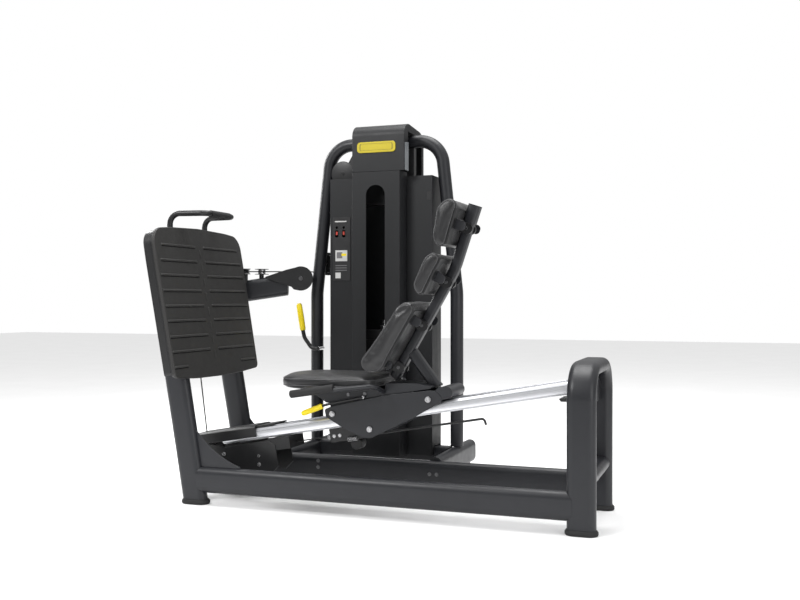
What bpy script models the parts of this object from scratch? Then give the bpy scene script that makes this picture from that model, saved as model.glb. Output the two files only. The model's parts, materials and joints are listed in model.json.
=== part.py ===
"""Seated leg press machine with a selector weight stack.

Working axes: X runs along the machine from the footplate (-X) to the rear
arch (+X), Y runs from the rail towards the weight tower, Z is up.  All
dimensions are in metres.  The whole machine is shifted at the end so that
the origin lies on the floor under the middle of its outer box.
"""
import bpy
import bmesh
from math import sin, cos, tan, pi, radians, degrees, hypot, atan2
from mathutils import Vector, Matrix

# ----------------------------------------------------------------- sizes
SHIFT_X = 0.7812         # working frame -> floor origin under the box centre
SHIFT_Y = -0.3918
GAP = 0.0004             # gap between pieces that touch

TUBE_W = 0.095           # flat-oval tube, long side
TUBE_T = 0.050           # flat-oval tube, short side
Y_NEAR = 0.0             # centreline of the near frame side
Y_FAR = 0.403            # centreline of the far frame side
Y_MID = 0.2015           # middle of the rail, seat and footplate
BASE_Z = 0.0895          # centre height of the base tubes

LEAN = radians(10.0)     # front uprights lean towards -X
FRONT_X0 = -1.418        # upright axis at floor level
UP_TOP = 0.850           # upright top height

ARCH_TOP = 0.5270        # centreline height of the rear arch
ARCH_R = 0.100           # corner radius of the rear arch

RAIL_ANG = radians(10.1)
RAIL_X0, RAIL_Z0 = -1.100, 0.2495   # a point on the rail's bottom line
RAIL_W = 0.123
RAIL_H = 0.044
RAIL_S0, RAIL_S1 = -0.291, 1.0930   # ends along the rail

TOWER_Y = 0.700          # plane of the tower hoop
TOWER_X = -0.934         # middle of the tower
TOWER_R = 0.0265         # hoop tube radius
STACK_Y = 0.700
STACK_W, STACK_D, PLATE_T = 0.300, 0.096, 0.030
STACK_Z0 = 0.165
N_STATIC, N_LIFT = 11, 3
ROD_DX = 0.100           # guide rods either side of the middle
SHROUD_Y = 0.640         # front of the side shrouds
SHROUD_BACK = 0.800
SHROUD_T = 0.003

PRESS_STROKE = 0.330
WHEEL_R = 0.020          # upper carriage wheels, running in the rail's groove
LOW_WHEEL_R = 0.0192     # lower carriage wheels, running under the rail
PULLEY_R = 0.034         # cable line radius of the pulleys
CABLE_R = 0.0025
CABLE_T = -0.032         # cable line below the rail's bottom face

# ----------------------------------------------------------------- scene
for _o in list(bpy.data.objects):
    bpy.data.objects.remove(_o, do_unlink=True)

MATS = {}


def mat(name, rgb, rough, metal=0.0):
    m = bpy.data.materials.new(name)
    m.use_nodes = True
    p = m.node_tree.nodes["Principled BSDF"]
    p.inputs["Base Color"].default_value = (rgb[0], rgb[1], rgb[2], 1)
    p.inputs["Roughness"].default_value = rough
    p.inputs["Metallic"].default_value = metal
    return m


KINDS = {
    "frame_paint": ((0.060, 0.062, 0.068), 0.38, 0.0),
    "black_paint": ((0.020, 0.020, 0.022), 0.42, 0.0),
    "shroud": ((0.036, 0.038, 0.041), 0.50, 0.0),
    "rubber": ((0.025, 0.025, 0.026), 0.75, 0.0),
    "mat_rubber": ((0.028, 0.028, 0.029), 0.70, 0.0),
    "leatherette": ((0.030, 0.030, 0.032), 0.45, 0.0),
    "aluminium": ((0.80, 0.81, 0.83), 0.28, 1.0),
    "steel": ((0.62, 0.62, 0.64), 0.28, 1.0),
    "iron": ((0.030, 0.030, 0.032), 0.55, 0.0),
    "yellow": ((0.85, 0.68, 0.02), 0.45, 0.0),
    "plastic": ((0.030, 0.031, 0.033), 0.48, 0.0),
    "cable": ((0.05, 0.05, 0.052), 0.45, 0.0),
    "print": ((0.10, 0.10, 0.11), 0.40, 0.0),
    "strip": ((0.30, 0.33, 0.34), 0.35, 0.0),
}


def make(name, bm, kind, smooth=True, pivot=None):
    """Close the bmesh into a named object, with its origin on pivot."""
    bmesh.ops.recalc_face_normals(bm, faces=bm.faces[:])
    me = bpy.data.meshes.new(name)
    bm.to_mesh(me)
    bm.free()
    ob = bpy.data.objects.new(name, me)
    bpy.context.scene.collection.objects.link(ob)
    rgb, rough, metal = KINDS[kind]
    me.materials.append(mat(name + "_mat", rgb, rough, metal))
    if smooth:
        me.shade_smooth()
        me.set_sharp_from_angle(angle=radians(40))
    if pivot is not None:
        p = Vector(pivot)
        me.transform(Matrix.Translation(-p))
        ob.location = p
    return ob


# --------------------------------------------------------------- outlines
def stadium(w, h, k):
    """Flat oval, w long, h thick, k segments per round end."""
    r = h / 2
    d = w / 2 - r
    return ([(d + r * cos(-pi / 2 + pi * i / k), r * sin(-pi / 2 + pi * i / k)) for i in range(k + 1)]
            + [(-d + r * cos(pi / 2 + pi * i / k), r * sin(pi / 2 + pi * i / k)) for i in range(k + 1)])


def circle(r, n, a0=0.0):
    return [(r * cos(a0 + 2 * pi * i / n), r * sin(a0 + 2 * pi * i / n)) for i in range(n)]


def round_rect(w, h, r, k):
    pts = []
    for cx, cy, a in ((w / 2 - r, -h / 2 + r, -pi / 2), (w / 2 - r, h / 2 - r, 0),
                      (-w / 2 + r, h / 2 - r, pi / 2), (-w / 2 + r, -h / 2 + r, pi)):
        pts += [(cx + r * cos(a + pi / 2 * i / k), cy + r * sin(a + pi / 2 * i / k)) for i in range(k + 1)]
    return pts


def round_poly(pts, radii, k):
    """Polygon with each corner replaced by an arc of its own radius."""
    n = len(pts)
    out = []
    for i in range(n):
        p, a, b = Vector(pts[i]), Vector(pts[i - 1]), Vector(pts[(i + 1) % n])
        r = radii[i] if isinstance(radii, (list, tuple)) else radii
        u, v = (a - p).normalized(), (b - p).normalized()
        ang = u.angle(v)
        if r <= 0 or ang > pi - 0.02:
            out.append((p.x, p.y))
            continue
        t = min(r / tan(ang / 2), 0.49 * (a - p).length, 0.49 * (b - p).length)
        r = t * tan(ang / 2)
        c = p + (u + v).normalized() * (r / sin(ang / 2))
        s, e = p + u * t - c, p + v * t - c
        sweep_a = s.angle(e)
        sgn = 1 if s.x * e.y - s.y * e.x > 0 else -1
        a0 = atan2(s.y, s.x)
        for j in range(k + 1):
            t2 = a0 + sgn * sweep_a * j / k
            out.append((c.x + r * cos(t2), c.y + r * sin(t2)))
    return out


# ----------------------------------------------------------------- solids
def loft(rings, closed=False, bm=None):
    """Closed body through rings of equal point counts, with end caps."""
    bm = bm or bmesh.new()
    vs = [[bm.verts.new(p) for p in ring] for ring in rings]
    n = len(rings[0])
    m = len(rings)
    for a in range(m if closed else m - 1):
        for i in range(n):
            bm.faces.new((vs[a][i], vs[a][(i + 1) % n], vs[(a + 1) % m][(i + 1) % n], vs[(a + 1) % m][i]))
    if not closed:
        bm.faces.new(list(reversed(vs[0])))
        bm.faces.new(vs[-1])
    return bm


AX = {"X": (Vector((0, 1, 0)), Vector((0, 0, 1)), Vector((1, 0, 0))),
      "Y": (Vector((1, 0, 0)), Vector((0, 0, 1)), Vector((0, 1, 0))),
      "Z": (Vector((1, 0, 0)), Vector((0, 1, 0)), Vector((0, 0, 1)))}


def prism(outline, axis, lo, hi, bm=None, origin=(0, 0, 0)):
    """Outline in the plane across axis, extruded from lo to hi along it."""
    u, v, w = AX[axis] if isinstance(axis, str) else axis
    o = Vector(origin)
    return loft([[o + u * x + v * y + w * d for x, y in outline] for d in (lo, hi)], bm=bm)


def box(lo, hi, bm=None):
    return prism([(lo[0], lo[1]), (hi[0], lo[1]), (hi[0], hi[1]), (lo[0], hi[1])], "Z", lo[2], hi[2], bm=bm)


def lathe(profile, axis, centre, n, bm=None):
    """Turned body: profile of (radius, height) along axis, closed on the axis."""
    u, v, w = AX[axis] if isinstance(axis, str) else axis
    c = Vector(centre)
    rings = []
    for r, h in profile:
        rings.append([c + w * h + (u * cos(2 * pi * i / n) + v * sin(2 * pi * i / n)) * r for i in range(n)])
    return loft(rings, bm=bm)


def ringbody(profile, axis, centre, n, bm=None):
    """Turned ring that doesn't reach the axis: profile is a closed loop."""
    u, v, w = AX[axis] if isinstance(axis, str) else axis
    c = Vector(centre)
    rings = []
    for i in range(n):
        d = u * cos(2 * pi * i / n) + v * sin(2 * pi * i / n)
        rings.append([c + w * h + d * r for r, h in profile])
    return loft(rings, closed=True, bm=bm)


def sweep(path, section, normal, bm=None, scales=None):
    """Section swept along a planar path; section y lies along the plane's normal.
    Each bend is mitred: the section is stretched in the bisecting plane."""
    nz = Vector(normal).normalized()
    P = [Vector(p) for p in path]
    rings = []
    for i, p in enumerate(P):
        d0 = (P[i] - P[i - 1]).normalized() if i > 0 else (P[1] - P[0]).normalized()
        d1 = (P[i + 1] - P[i]).normalized() if i < len(P) - 1 else d0
        t = (d0 + d1).normalized()
        side = t.cross(nz).normalized()
        k = 1 / max(0.3, t.dot(d1))
        s = scales[i] if scales else 1.0
        rings.append([p + side * (x * k * s) + nz * (y * s) for x, y in section])
    return loft(rings, bm=bm)


def arc(c, r, a0, a1, k):
    return [(c[0] + r * cos(a0 + (a1 - a0) * i / k), c[1] + r * sin(a0 + (a1 - a0) * i / k)) for i in range(k + 1)]


def bend_path(pts, radii, k):
    """Open 3D path with rounded corners."""
    P = [Vector(p) for p in pts]
    out = [P[0]]
    for i in range(1, len(P) - 1):
        r = radii[i - 1] if isinstance(radii, (list, tuple)) else radii
        u, v = (P[i - 1] - P[i]).normalized(), (P[i + 1] - P[i]).normalized()
        ang = u.angle(v)
        if ang > pi - 0.01 or r <= 0:
            out.append(P[i])
            continue
        t = min(r / tan(ang / 2), 0.49 * (P[i - 1] - P[i]).length, 0.49 * (P[i + 1] - P[i]).length)
        r = t * tan(ang / 2)
        c = P[i] + (u + v).normalized() * (r / sin(ang / 2))
        s, e = (P[i] + u * t) - c, (P[i] + v * t) - c
        ax = s.cross(e).normalized()
        tot = s.angle(e)
        for j in range(k + 1):
            out.append(c + Matrix.Rotation(tot * j / k, 3, ax) @ s)
    out.append(P[-1])
    return out


def tube3d(path, r, n, bm=None):
    """Round tube along any smooth 3D path, with the section carried along."""
    P = [Vector(p) for p in path]
    t = (P[1] - P[0]).normalized()
    a = Vector((0, 0, 1)) if abs(t.z) < 0.9 else Vector((1, 0, 0))
    u = (a - t * a.dot(t)).normalized()
    rings = []
    for i, p in enumerate(P):
        d0 = (P[i] - P[i - 1]).normalized() if i > 0 else (P[1] - P[0]).normalized()
        d1 = (P[i + 1] - P[i]).normalized() if i < len(P) - 1 else d0
        t = (d0 + d1).normalized()
        u = (u - t * u.dot(t)).normalized()
        v = t.cross(u)
        rings.append([p + (u * cos(2 * pi * j / n) + v * sin(2 * pi * j / n)) * r for j in range(n)])
    return loft(rings, bm=bm)


def cut(ob, cutter_bm, name):
    """Boolean difference with a hidden cutter."""
    bmesh.ops.recalc_face_normals(cutter_bm, faces=cutter_bm.faces[:])
    me = bpy.data.meshes.new(name)
    cutter_bm.to_mesh(me)
    cutter_bm.free()
    c = bpy.data.objects.new(name, me)
    bpy.context.scene.collection.objects.link(c)
    c.hide_render = True
    c.display_type = "WIRE"
    m = ob.modifiers.new(name, "BOOLEAN")
    m.operation = "DIFFERENCE"
    m.solver = "EXACT"
    m.object = c
    return c


def rail_pt(s, t, y=Y_MID):
    """Point s along the rail and t above its bottom face."""
    return Vector((RAIL_X0 + s * cos(RAIL_ANG) - t * sin(RAIL_ANG), y,
                   RAIL_Z0 + s * sin(RAIL_ANG) + t * cos(RAIL_ANG)))


RU = Vector((cos(RAIL_ANG), 0, sin(RAIL_ANG)))       # along the rail
RW = Vector((-sin(RAIL_ANG), 0, cos(RAIL_ANG)))      # square to the rail
RAIL_AX = (Vector((0, 1, 0)), RW, RU)                # outline (y, t), extruded along s
LEAN_V = Vector((-sin(LEAN), 0, cos(LEAN)))          # up along the uprights
LEAN_U = Vector((cos(LEAN), 0, sin(LEAN)))           # square to them, towards the user


def up_pt(z, y):
    return Vector((FRONT_X0 - tan(LEAN) * z, y, z))


def upright(y, grow, z0, z1, k):
    """Leaning flat-oval post with level cut ends."""
    sec = stadium(TUBE_W + 2 * grow, TUBE_T + 2 * grow, k)
    rings = []
    for z in (z0, z1):
        c = up_pt(z, y)
        rings.append([c + Vector((x / cos(LEAN), v, 0)) for x, v in sec])
    return loft(rings)


# ------------------------------------------------------------- main frame
K = 5
for tag, y in (("near", Y_NEAR), ("far", Y_FAR)):
    make("front_upright_" + tag, upright(y, 0, 0.0164, UP_TOP, K), "frame_paint")
    b = prism([(v, x) for x, v in stadium(TUBE_W, TUBE_T, K)], "X", -1.44, -0.018, origin=(0, y, BASE_Z))
    t = make("base_tube_" + tag, b, "frame_paint")
    cut(t, upright(y, GAP, -0.02, 0.30, 10), "cope_front_" + tag)
    cut(t, prism(stadium(TUBE_W + 2 * GAP, TUBE_T + 2 * GAP, 10), "Z", -0.02, 0.30, origin=(0, y, 0)), "cope_rear_" + tag)


def arch_path(k):
    y0, y1, z0 = Y_NEAR, Y_FAR, 0.0164
    return bend_path([(0, y0, z0), (0, y0, ARCH_TOP), (0, y1, ARCH_TOP), (0, y1, z0)], ARCH_R, k)


make("rear_arch", sweep(arch_path(6), [(v, x) for x, v in stadium(TUBE_W, TUBE_T, K)], (1, 0, 0)), "frame_paint")
make("rear_crossbar", prism([(x, v) for x, v in stadium(0.080, 0.045, 4)],
                            (Vector((1, 0, 0)), Vector((0, 0, 1)), Vector((0, 1, 0))),
                            Y_NEAR + TUBE_T / 2 + GAP, Y_FAR - TUBE_T / 2 - GAP, origin=(0, 0, 0.170)), "frame_paint")
# cross member that carries the rail's rear end
beam = make("rail_end_beam", prism(round_rect(0.030, 0.084, 0.006, 2), "Y", Y_NEAR + TUBE_T / 2 + GAP,
                                   Y_FAR - TUBE_T / 2 - GAP, origin=(-0.008, 0, 0.4365)), "frame_paint")
cut(beam, sweep(arch_path(6), [(v, x) for x, v in stadium(TUBE_W + 2 * GAP, TUBE_T + 2 * GAP, K)], (1, 0, 0)), "cope_beam")
b = prism([(-0.100, 0.4175), (-0.0220, 0.4260), (-0.0220, 0.4080), (-0.094, 0.4080)],
          "Y", Y_MID - 0.05, Y_MID + 0.05)
make("rail_end_bracket", b, "black_paint", smooth=False)

# rubber feet under the four posts
for tag, cx, y, w in (("rear_near", 0, Y_NEAR, 1), ("rear_far", 0, Y_FAR, 1), ("front_near", FRONT_X0 - 0.0015, Y_NEAR, 1 / cos(LEAN)),
                      ("front_far", FRONT_X0 - 0.0015, Y_FAR, 1 / cos(LEAN))):
    rings = []
    for g, z in ((0.004, 0.0), (0.0065, 0.004), (0.0065, 0.012), (0.002, 0.0180)):
        rings.append([Vector((cx + x * w, y + v, z)) for x, v in stadium(TUBE_W + 2 * g, TUBE_T + 2 * g, 5)])
    make("foot_" + tag, loft(rings), "rubber")

# corner gussets between upright and base tube, with a concave free edge
def gusset_outline(k):
    zb = BASE_Z + TUBE_W / 2 + GAP
    def edge(z):
        return FRONT_X0 - tan(LEAN) * z + TUBE_W / 2 / cos(LEAN) - 0.0015
    pts = [(edge(zb), zb), (-1.235, zb), (-1.235, zb + 0.006)]
    p0, p1, p2 = Vector((-1.235, zb + 0.006)), Vector((-1.345, 0.178)), Vector((edge(0.272), 0.272))
    for i in range(1, k + 1):
        u = i / k
        q = p0 * (1 - u) ** 2 + p1 * 2 * u * (1 - u) + p2 * u ** 2
        pts.append((q.x, q.y))
    return pts


for tag, y in (("near", Y_NEAR), ("far", Y_FAR)):
    make("front_gusset_" + tag, prism(gusset_outline(8), "Y", y - 0.003, y + 0.003), "frame_paint", smooth=False)

# cross tubes between the two frame sides, at the front
make("front_crossbar", prism(round_rect(0.060, 0.070, 0.012, 2), "Y", Y_NEAR + TUBE_T / 2 + GAP,
                             Y_FAR - TUBE_T / 2 - GAP, origin=(-1.405, 0, 0.0895)), "frame_paint")

# ------------------------------------------------------------------- rail
def rail_section():
    h, w = RAIL_H, RAIL_W / 2
    side = [(-w + 0.006, 0.0), (w - 0.006, 0.0), (w, 0.007), (w, h - 0.014), (w - 0.004, h - 0.004), (w - 0.012, h)]
    groove = [(0.030, h), (0.030, h - 0.010), (-0.030, h - 0.010), (-0.030, h)]
    other = [(-w + 0.012, h), (-w + 0.004, h - 0.004), (-w, h - 0.014), (-w, 0.007)]
    return side + groove + other


make("rail", prism(rail_section(), RAIL_AX, RAIL_S0, RAIL_S1, origin=rail_pt(0, 0)), "aluminium")

# tread cover: a saddle over the front end of the rail
def cover_section(o, i, top, ztop):
    return [(-o, 0.0), (-i, 0.0), (-i, ztop), (i, ztop), (i, 0.0), (o, 0.0), (o, top - 0.008), (o - 0.010, top), (-o + 0.010, top), (-o, top - 0.008)]


COVER_S0, COVER_S1 = -0.420, -0.142
b = prism([(y, t + 0.011) for y, t in cover_section(0.0680, 0.0620, 0.0440, RAIL_H - 0.011 + 0.0008)], RAIL_AX, COVER_S0 + 0.004, COVER_S1,
          origin=rail_pt(0, 0))
cov = make("rail_front_cover", b, "plastic")
RISE_X = -1.489           # rising cable, at the height of the low riser pulley
cut(cov, lathe([(0.007, 0.20), (0.007, 0.28)], "Z", (-1.4960, Y_MID, 0), 10), "cable_hole")
make("cover_tongue", prism(round_rect(0.110, 0.0060, 0.002, 1), RAIL_AX, COVER_S1 - 0.004, -0.066,
                           origin=rail_pt(0, RAIL_H + 0.0008 + 0.003)), "plastic")

# ------------------------------------------- front pulley and its housing
FP = rail_pt(-0.145, CABLE_T - 0.030)      # front pulley axle
LP = Vector((-1.4550, Y_MID, 0.1900))      # low riser pulley axle
HOUSE_Y = 0.060                           # half distance of the housing plates


def house_outline():
    return [(-1.478, 0.170), (-1.450, 0.1400), (-1.370, 0.1280), (-1.360, 0.098), (-1.180, 0.098), (-1.150, 0.1300), (-1.165, 0.2100),
            (-1.200, 0.2230), (-1.375, 0.1880), (-1.430, 0.1960), (-1.458, 0.1960), (-1.478, 0.1850)]


for tag, y0 in (("near", Y_MID - HOUSE_Y - 0.004), ("far", Y_MID + HOUSE_Y)):
    make("housing_plate_" + tag, prism(house_outline(), "Y", y0, y0 + 0.004), "black_paint", smooth=False)

for tag, p in (("front", FP), ("riser", LP)):
    make("housing_axle_" + tag, lathe([(0.0055, Y_MID - 0.0665), (0.0055, Y_MID + 0.0665)], "Y", (p.x, 0, p.z), 12), "steel")


def pulley(centre, r, half, bore, axis, n):
    """Grooved wheel whose cable line has radius r."""
    prof = [(bore, -half), (r + 0.004, -half), (r + 0.004, -half + 0.002), (r - 0.0045, -0.0012), (r - 0.0045, 0.0012),
            (r + 0.004, half - 0.002), (r + 0.004, half), (bore, half)]
    return ringbody(prof, axis, centre, n)


make("front_pulley", pulley(FP, 0.030, 0.010, 0.0058, "Y", 22), "plastic", pivot=FP)
make("riser_pulley", pulley(LP, 0.034, 0.010, 0.0058, "Y", 22), "plastic", pivot=LP)
# cable guide block under the rail
b = prism([(-0.046, -0.050), (0.046, -0.050), (0.046, -0.0050), (-0.046, -0.0050)], (RU, RW, Vector((0, 1, 0))), -HOUSE_Y - 0.001, HOUSE_Y + 0.001,
          origin=rail_pt(-0.056, 0, Y_MID))
ob = make("cable_guide_block", b, "plastic", smooth=False)
cut(ob, lathe([(0.0040, -0.10), (0.0040, 0.10)], (Vector((0, 1, 0)), RW, RU), rail_pt(-0.04, CABLE_T), 10), "guide_hole")

# ----------------------------------------------------------- ties to tower
TIE_Z = 0.104
TIE_DX = 0.3145
for tag, sx in (("left", -1), ("right", 1)):
    x = TOWER_X + sx * TIE_DX
    b = prism([(v, u) for u, v in stadium(TUBE_W, TUBE_T, K)], "Y", Y_FAR + 0.0036, 0.900, origin=(x, 0, TIE_Z))
    t = make("tower_tie_" + tag, b, "frame_paint")
    cut(t, prism([(v, u) for u, v in stadium(TUBE_W + 2 * GAP, TUBE_T + 2 * GAP, 10)], "X", x - 0.1, x + 0.1,
                 origin=(0, Y_FAR, BASE_Z)), "cope_tie_" + tag)

# end caps and feet of the ties
for tag, sx in (("left", -1), ("right", 1)):
    x = TOWER_X + sx * TIE_DX
    for place, y in (("rear", 0.860), ("front", 0.640)):
        make("tie_foot_%s_%s" % (place, tag), lathe([(0.026, 0.0), (0.030, 0.005), (0.030, 0.020), (0.012, 0.026), (0.012, TIE_Z - TUBE_W / 2 + 0.006)],
                                                    "Z", (x, y, 0), 16), "rubber")
    make("tie_cap_" + tag, prism([(v, u) for u, v in stadium(TUBE_W - 0.002, TUBE_T - 0.002, 4)], "Y", 0.8985, 0.906, origin=(x, 0, TIE_Z)), "plastic")

# ------------------------------------------------------------ tower hoop
def hoop_path(k):
    zb = TIE_Z + TUBE_W / 2 + GAP
    L, R = TOWER_X - TIE_DX, TOWER_X + TIE_DX
    zt = 1.412
    return bend_path([(L, TOWER_Y, zb), (L, TOWER_Y, 0.780), (L + 0.0685, TOWER_Y, zt), (R - 0.0685, TOWER_Y, zt),
                      (R, TOWER_Y, 0.780), (R, TOWER_Y, zb)], [0.30, 0.105, 0.105, 0.30], k)


make("tower_hoop", sweep(hoop_path(7), circle(TOWER_R, 14), (0, 1, 0)), "frame_paint")
make("tower_crossbar", prism(round_rect(0.050, 0.060, 0.006, 1), "X", TOWER_X - TIE_DX + TUBE_T / 2 + GAP,
                             TOWER_X + TIE_DX - TUBE_T / 2 - GAP, origin=(0, STACK_Y, 0.118)), "frame_paint")
ZC = 1.412 - TOWER_R - GAP
YOKE_Z = 1.150
POST_DX = 0.118
# yoke: a bridge on two short posts under the hoop, which holds the guide rods' tops
bm = bmesh.new()
o = [(-0.150, YOKE_Z), (0.150, YOKE_Z), (0.150, YOKE_Z + 0.012), (POST_DX + 0.015, YOKE_Z + 0.012), (POST_DX + 0.015, ZC),
     (POST_DX - 0.015, ZC), (POST_DX - 0.015, YOKE_Z + 0.012), (-POST_DX + 0.015, YOKE_Z + 0.012), (-POST_DX + 0.015, ZC),
     (-POST_DX - 0.015, ZC), (-POST_DX - 0.015, YOKE_Z + 0.012), (-0.150, YOKE_Z + 0.012)]
prism(o, "Y", STACK_Y - 0.0150, STACK_Y + 0.0150, bm=bm, origin=(TOWER_X, 0, 0))
yoke = make("stack_yoke", bm, "black_paint", smooth=False)
bm = bmesh.new()
lathe([(0.0080, YOKE_Z - 0.02), (0.0080, YOKE_Z + 0.03)], "Z", (TOWER_X, STACK_Y, 0), 12, bm=bm)
lathe([(0.0070, TOWER_X - 0.16), (0.0070, TOWER_X - 0.09)], "X", (0, STACK_Y, 1.332), 10, bm=bm)
cut(yoke, bm, "yoke_hole")

# ----------------------------------------------------------- weight stack
bm = bmesh.new()
for sx in (-1, 1):
    make("guide_rod_%d" % (sx + 1), lathe([(0.022, 0.148 + GAP), (0.022, 0.162), (0.010, 0.162), (0.010, YOKE_Z + 0.006)], "Z",
                                       (TOWER_X + sx * ROD_DX, STACK_Y, 0), 10), "steel")


def plates(z0, n, notch=False):
    """Pile of plates with a fine groove at each joint between two of them."""
    a, g, h = STACK_W / 2, 0.0020, 0.0005
    right = []
    for i in range(n):
        z = z0 + i * PLATE_T
        right += [(a, z + (h if i else 0)), (a, z + PLATE_T - (h if i < n - 1 else GAP))]
        if i < n - 1:
            right += [(a - g, z + PLATE_T - h), (a - g, z + PLATE_T + h)]
    left = [(-x, z) for x, z in reversed(right)]
    foot = [(-0.0065, z0), (-0.0065, z0 + 0.013), (0.0065, z0 + 0.013), (0.0065, z0)] if notch else []
    return prism(foot + right + left, "Y", STACK_Y - STACK_D / 2, STACK_Y + STACK_D / 2, origin=(TOWER_X, 0, 0))


def stack_cutter(z0, z1):
    bm = bmesh.new()
    for dx, r in ((-ROD_DX, 0.0115), (0, 0.0140), (ROD_DX, 0.0115)):
        lathe([(r, z0 - 0.01), (r, z1 + 0.01)], "Z", (TOWER_X + dx, STACK_Y, 0), 10, bm=bm)
    return bm


Z1 = STACK_Z0 + N_STATIC * PLATE_T
Z2 = Z1 + N_LIFT * PLATE_T
cut(make("weight_plates", plates(STACK_Z0, N_STATIC), "iron"), stack_cutter(STACK_Z0, Z1), "plate_holes")
cut(make("lifted_plates", plates(Z1, N_LIFT, notch=True), "iron"), stack_cutter(Z1, Z2), "lifted_holes")
o = round_poly([(-0.15, -0.045), (0.15, -0.045), (0.15, 0.045), (-0.15, 0.045)], 0.006, 1)
hp = make("head_plate", prism(o, "Z", Z2, Z2 + 0.040, origin=(TOWER_X, STACK_Y, 0)), "iron")
cut(hp, stack_cutter(Z2, Z2 + 0.040), "head_holes")
# selector rod with a collar that seats on the head plate
make("selector_rod", lathe([(0.0125, STACK_Z0 + 0.006), (0.0125, Z2 + 0.039), (0.022, Z2 + 0.039), (0.022, Z2 + 0.056),
                            (0.012, Z2 + 0.062), (0.012, Z2 + 0.082)], "Z", (TOWER_X, STACK_Y, 0), 12), "steel")
PIN_Z = Z1 + 0.0065
make("selector_pin", lathe([(0.0050, -0.0900), (0.0050, -0.0140)], "Y", (TOWER_X, STACK_Y, PIN_Z), 10), "steel")
ob = bpy.data.objects["selector_pin"]
bm = bmesh.new()
lathe([(0.010, -0.1055), (0.014, -0.1035), (0.014, -0.0885), (0.0095, -0.0860)], "Y", (TOWER_X, STACK_Y, PIN_Z), 14, bm=bm)
make("pin_knob", bm, "yellow")

# ------------------------------------------------- top pulleys and guards
TPX, TPZ, TPR = -1.1180, 1.2900, 0.0420      # side pulley, at the hoop's left shoulder
CPR = 0.0360
CPX, CPZ = TOWER_X - CPR, 1.2960             # pulley above the selector rod
make("top_pulley_side", pulley((TPX, TOWER_Y, TPZ), TPR, 0.010, 0.0063, "Y", 24), "plastic", pivot=(TPX, TOWER_Y, TPZ))
make("top_pulley_centre", pulley((CPX, TOWER_Y, CPZ), CPR, 0.010, 0.0063, "Y", 24), "plastic", pivot=(CPX, TOWER_Y, CPZ))
make("top_pulley_guard", loft([[Vector((TPX + x, y, TPZ + z)) for x, z in circle(r, 28)] for y, r in ((0.6715, 0.0505), (0.6730, 0.0520), (0.6765, 0.0520))]), "black_paint")
bm = bmesh.new()
make("top_axle_side", lathe([(0.0058, 0.6745), (0.0058, 0.7255)], "Y", (TPX, 0, TPZ), 12), "steel")
make("top_axle_centre", lathe([(0.0058, 0.6745), (0.0058, 0.7255)], "Y", (CPX, 0, CPZ), 12), "steel")
bm.free()
# hanger plates under the hoop that carry both axles
make("hanger_front", prism([(TPX + 0.030, TPZ - 0.020), (CPX - 0.02, CPZ - 0.030), (-0.9000, CPZ - 0.030), (-0.9000, 1.3840), (TPX + 0.0535, 1.3840), (TPX + 0.030, TPZ + 0.030)],
                           "Y", 0.6725, 0.6765), "black_paint", smooth=False)
make("hanger_rear", prism([(TPX - 0.015, TPZ - 0.020), (CPX - 0.02, CPZ - 0.030), (-0.9000, CPZ - 0.030), (-0.9000, 1.3840), (TPX + 0.030, 1.3840), (TPX - 0.015, TPZ + 0.020)],
                          "Y", 0.7240, 0.7280), "black_paint", smooth=False)

# ------------------------------------------------------- shrouds and cap
def channel(pts, t):
    """Open sheet of thickness t along a polyline in XY (thickness on the left)."""
    P = [Vector(p) for p in pts]
    off = []
    for i, p in enumerate(P):
        d0 = (P[i] - P[i - 1]).normalized() if i else (P[1] - P[0]).normalized()
        d1 = (P[i + 1] - P[i]).normalized() if i < len(P) - 1 else d0
        n0, n1 = Vector((-d0.y, d0.x)), Vector((-d1.y, d1.x))
        b = (n0 + n1).normalized()
        off.append(p + b * (t / max(0.4, b.dot(n0))))
    return [(p.x, p.y) for p in P] + [(q.x, q.y) for q in reversed(off)]


CS_C, CS_HALF = -0.9293, 0.1118
CS_L, CS_R = CS_C - CS_HALF, CS_C + CS_HALF
CENTRE_Y = 0.575
SH_Z0, SH_Z1, CS_Z1 = 0.1520, 1.262, 1.2780
cs_path = [(CS_L, 0.6480), (CS_L, CENTRE_Y + 0.025), (CS_L + 0.008, CENTRE_Y), (CS_R - 0.008, CENTRE_Y), (CS_R, CENTRE_Y + 0.025), (CS_R, 0.6480)]
ob = make("centre_shroud", prism(channel(cs_path, SHROUD_T), "Z", 0.1150, CS_Z1), "shroud")
SLOT_X, SLOT_W, SLOT_Z0, SLOT_Z1 = -0.931, 0.082, 0.300, 1.223


def slot_outline(w, k):
    r = w / 2
    return [(-r, SLOT_Z0), (r, SLOT_Z0)] + [(r * cos(pi * i / k), SLOT_Z1 - r + r * sin(pi * i / k)) for i in range(k + 1)]


cut(ob, prism(slot_outline(SLOT_W, 10), "Y", 0.55, 0.595, origin=(SLOT_X, 0, 0)), "slot_cutter")


def side_path(sx):
    """Plan of a side shroud, from its inner edge round to its back edge."""
    inner = (CS_R + 0.0012) if sx > 0 else (CS_L - 0.0012)
    return [(inner, SHROUD_Y), (TOWER_X + sx * 0.2270, SHROUD_Y), (TOWER_X + sx * 0.2300, 0.7500), (TOWER_X + sx * 0.2150, SHROUD_BACK)]


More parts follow.
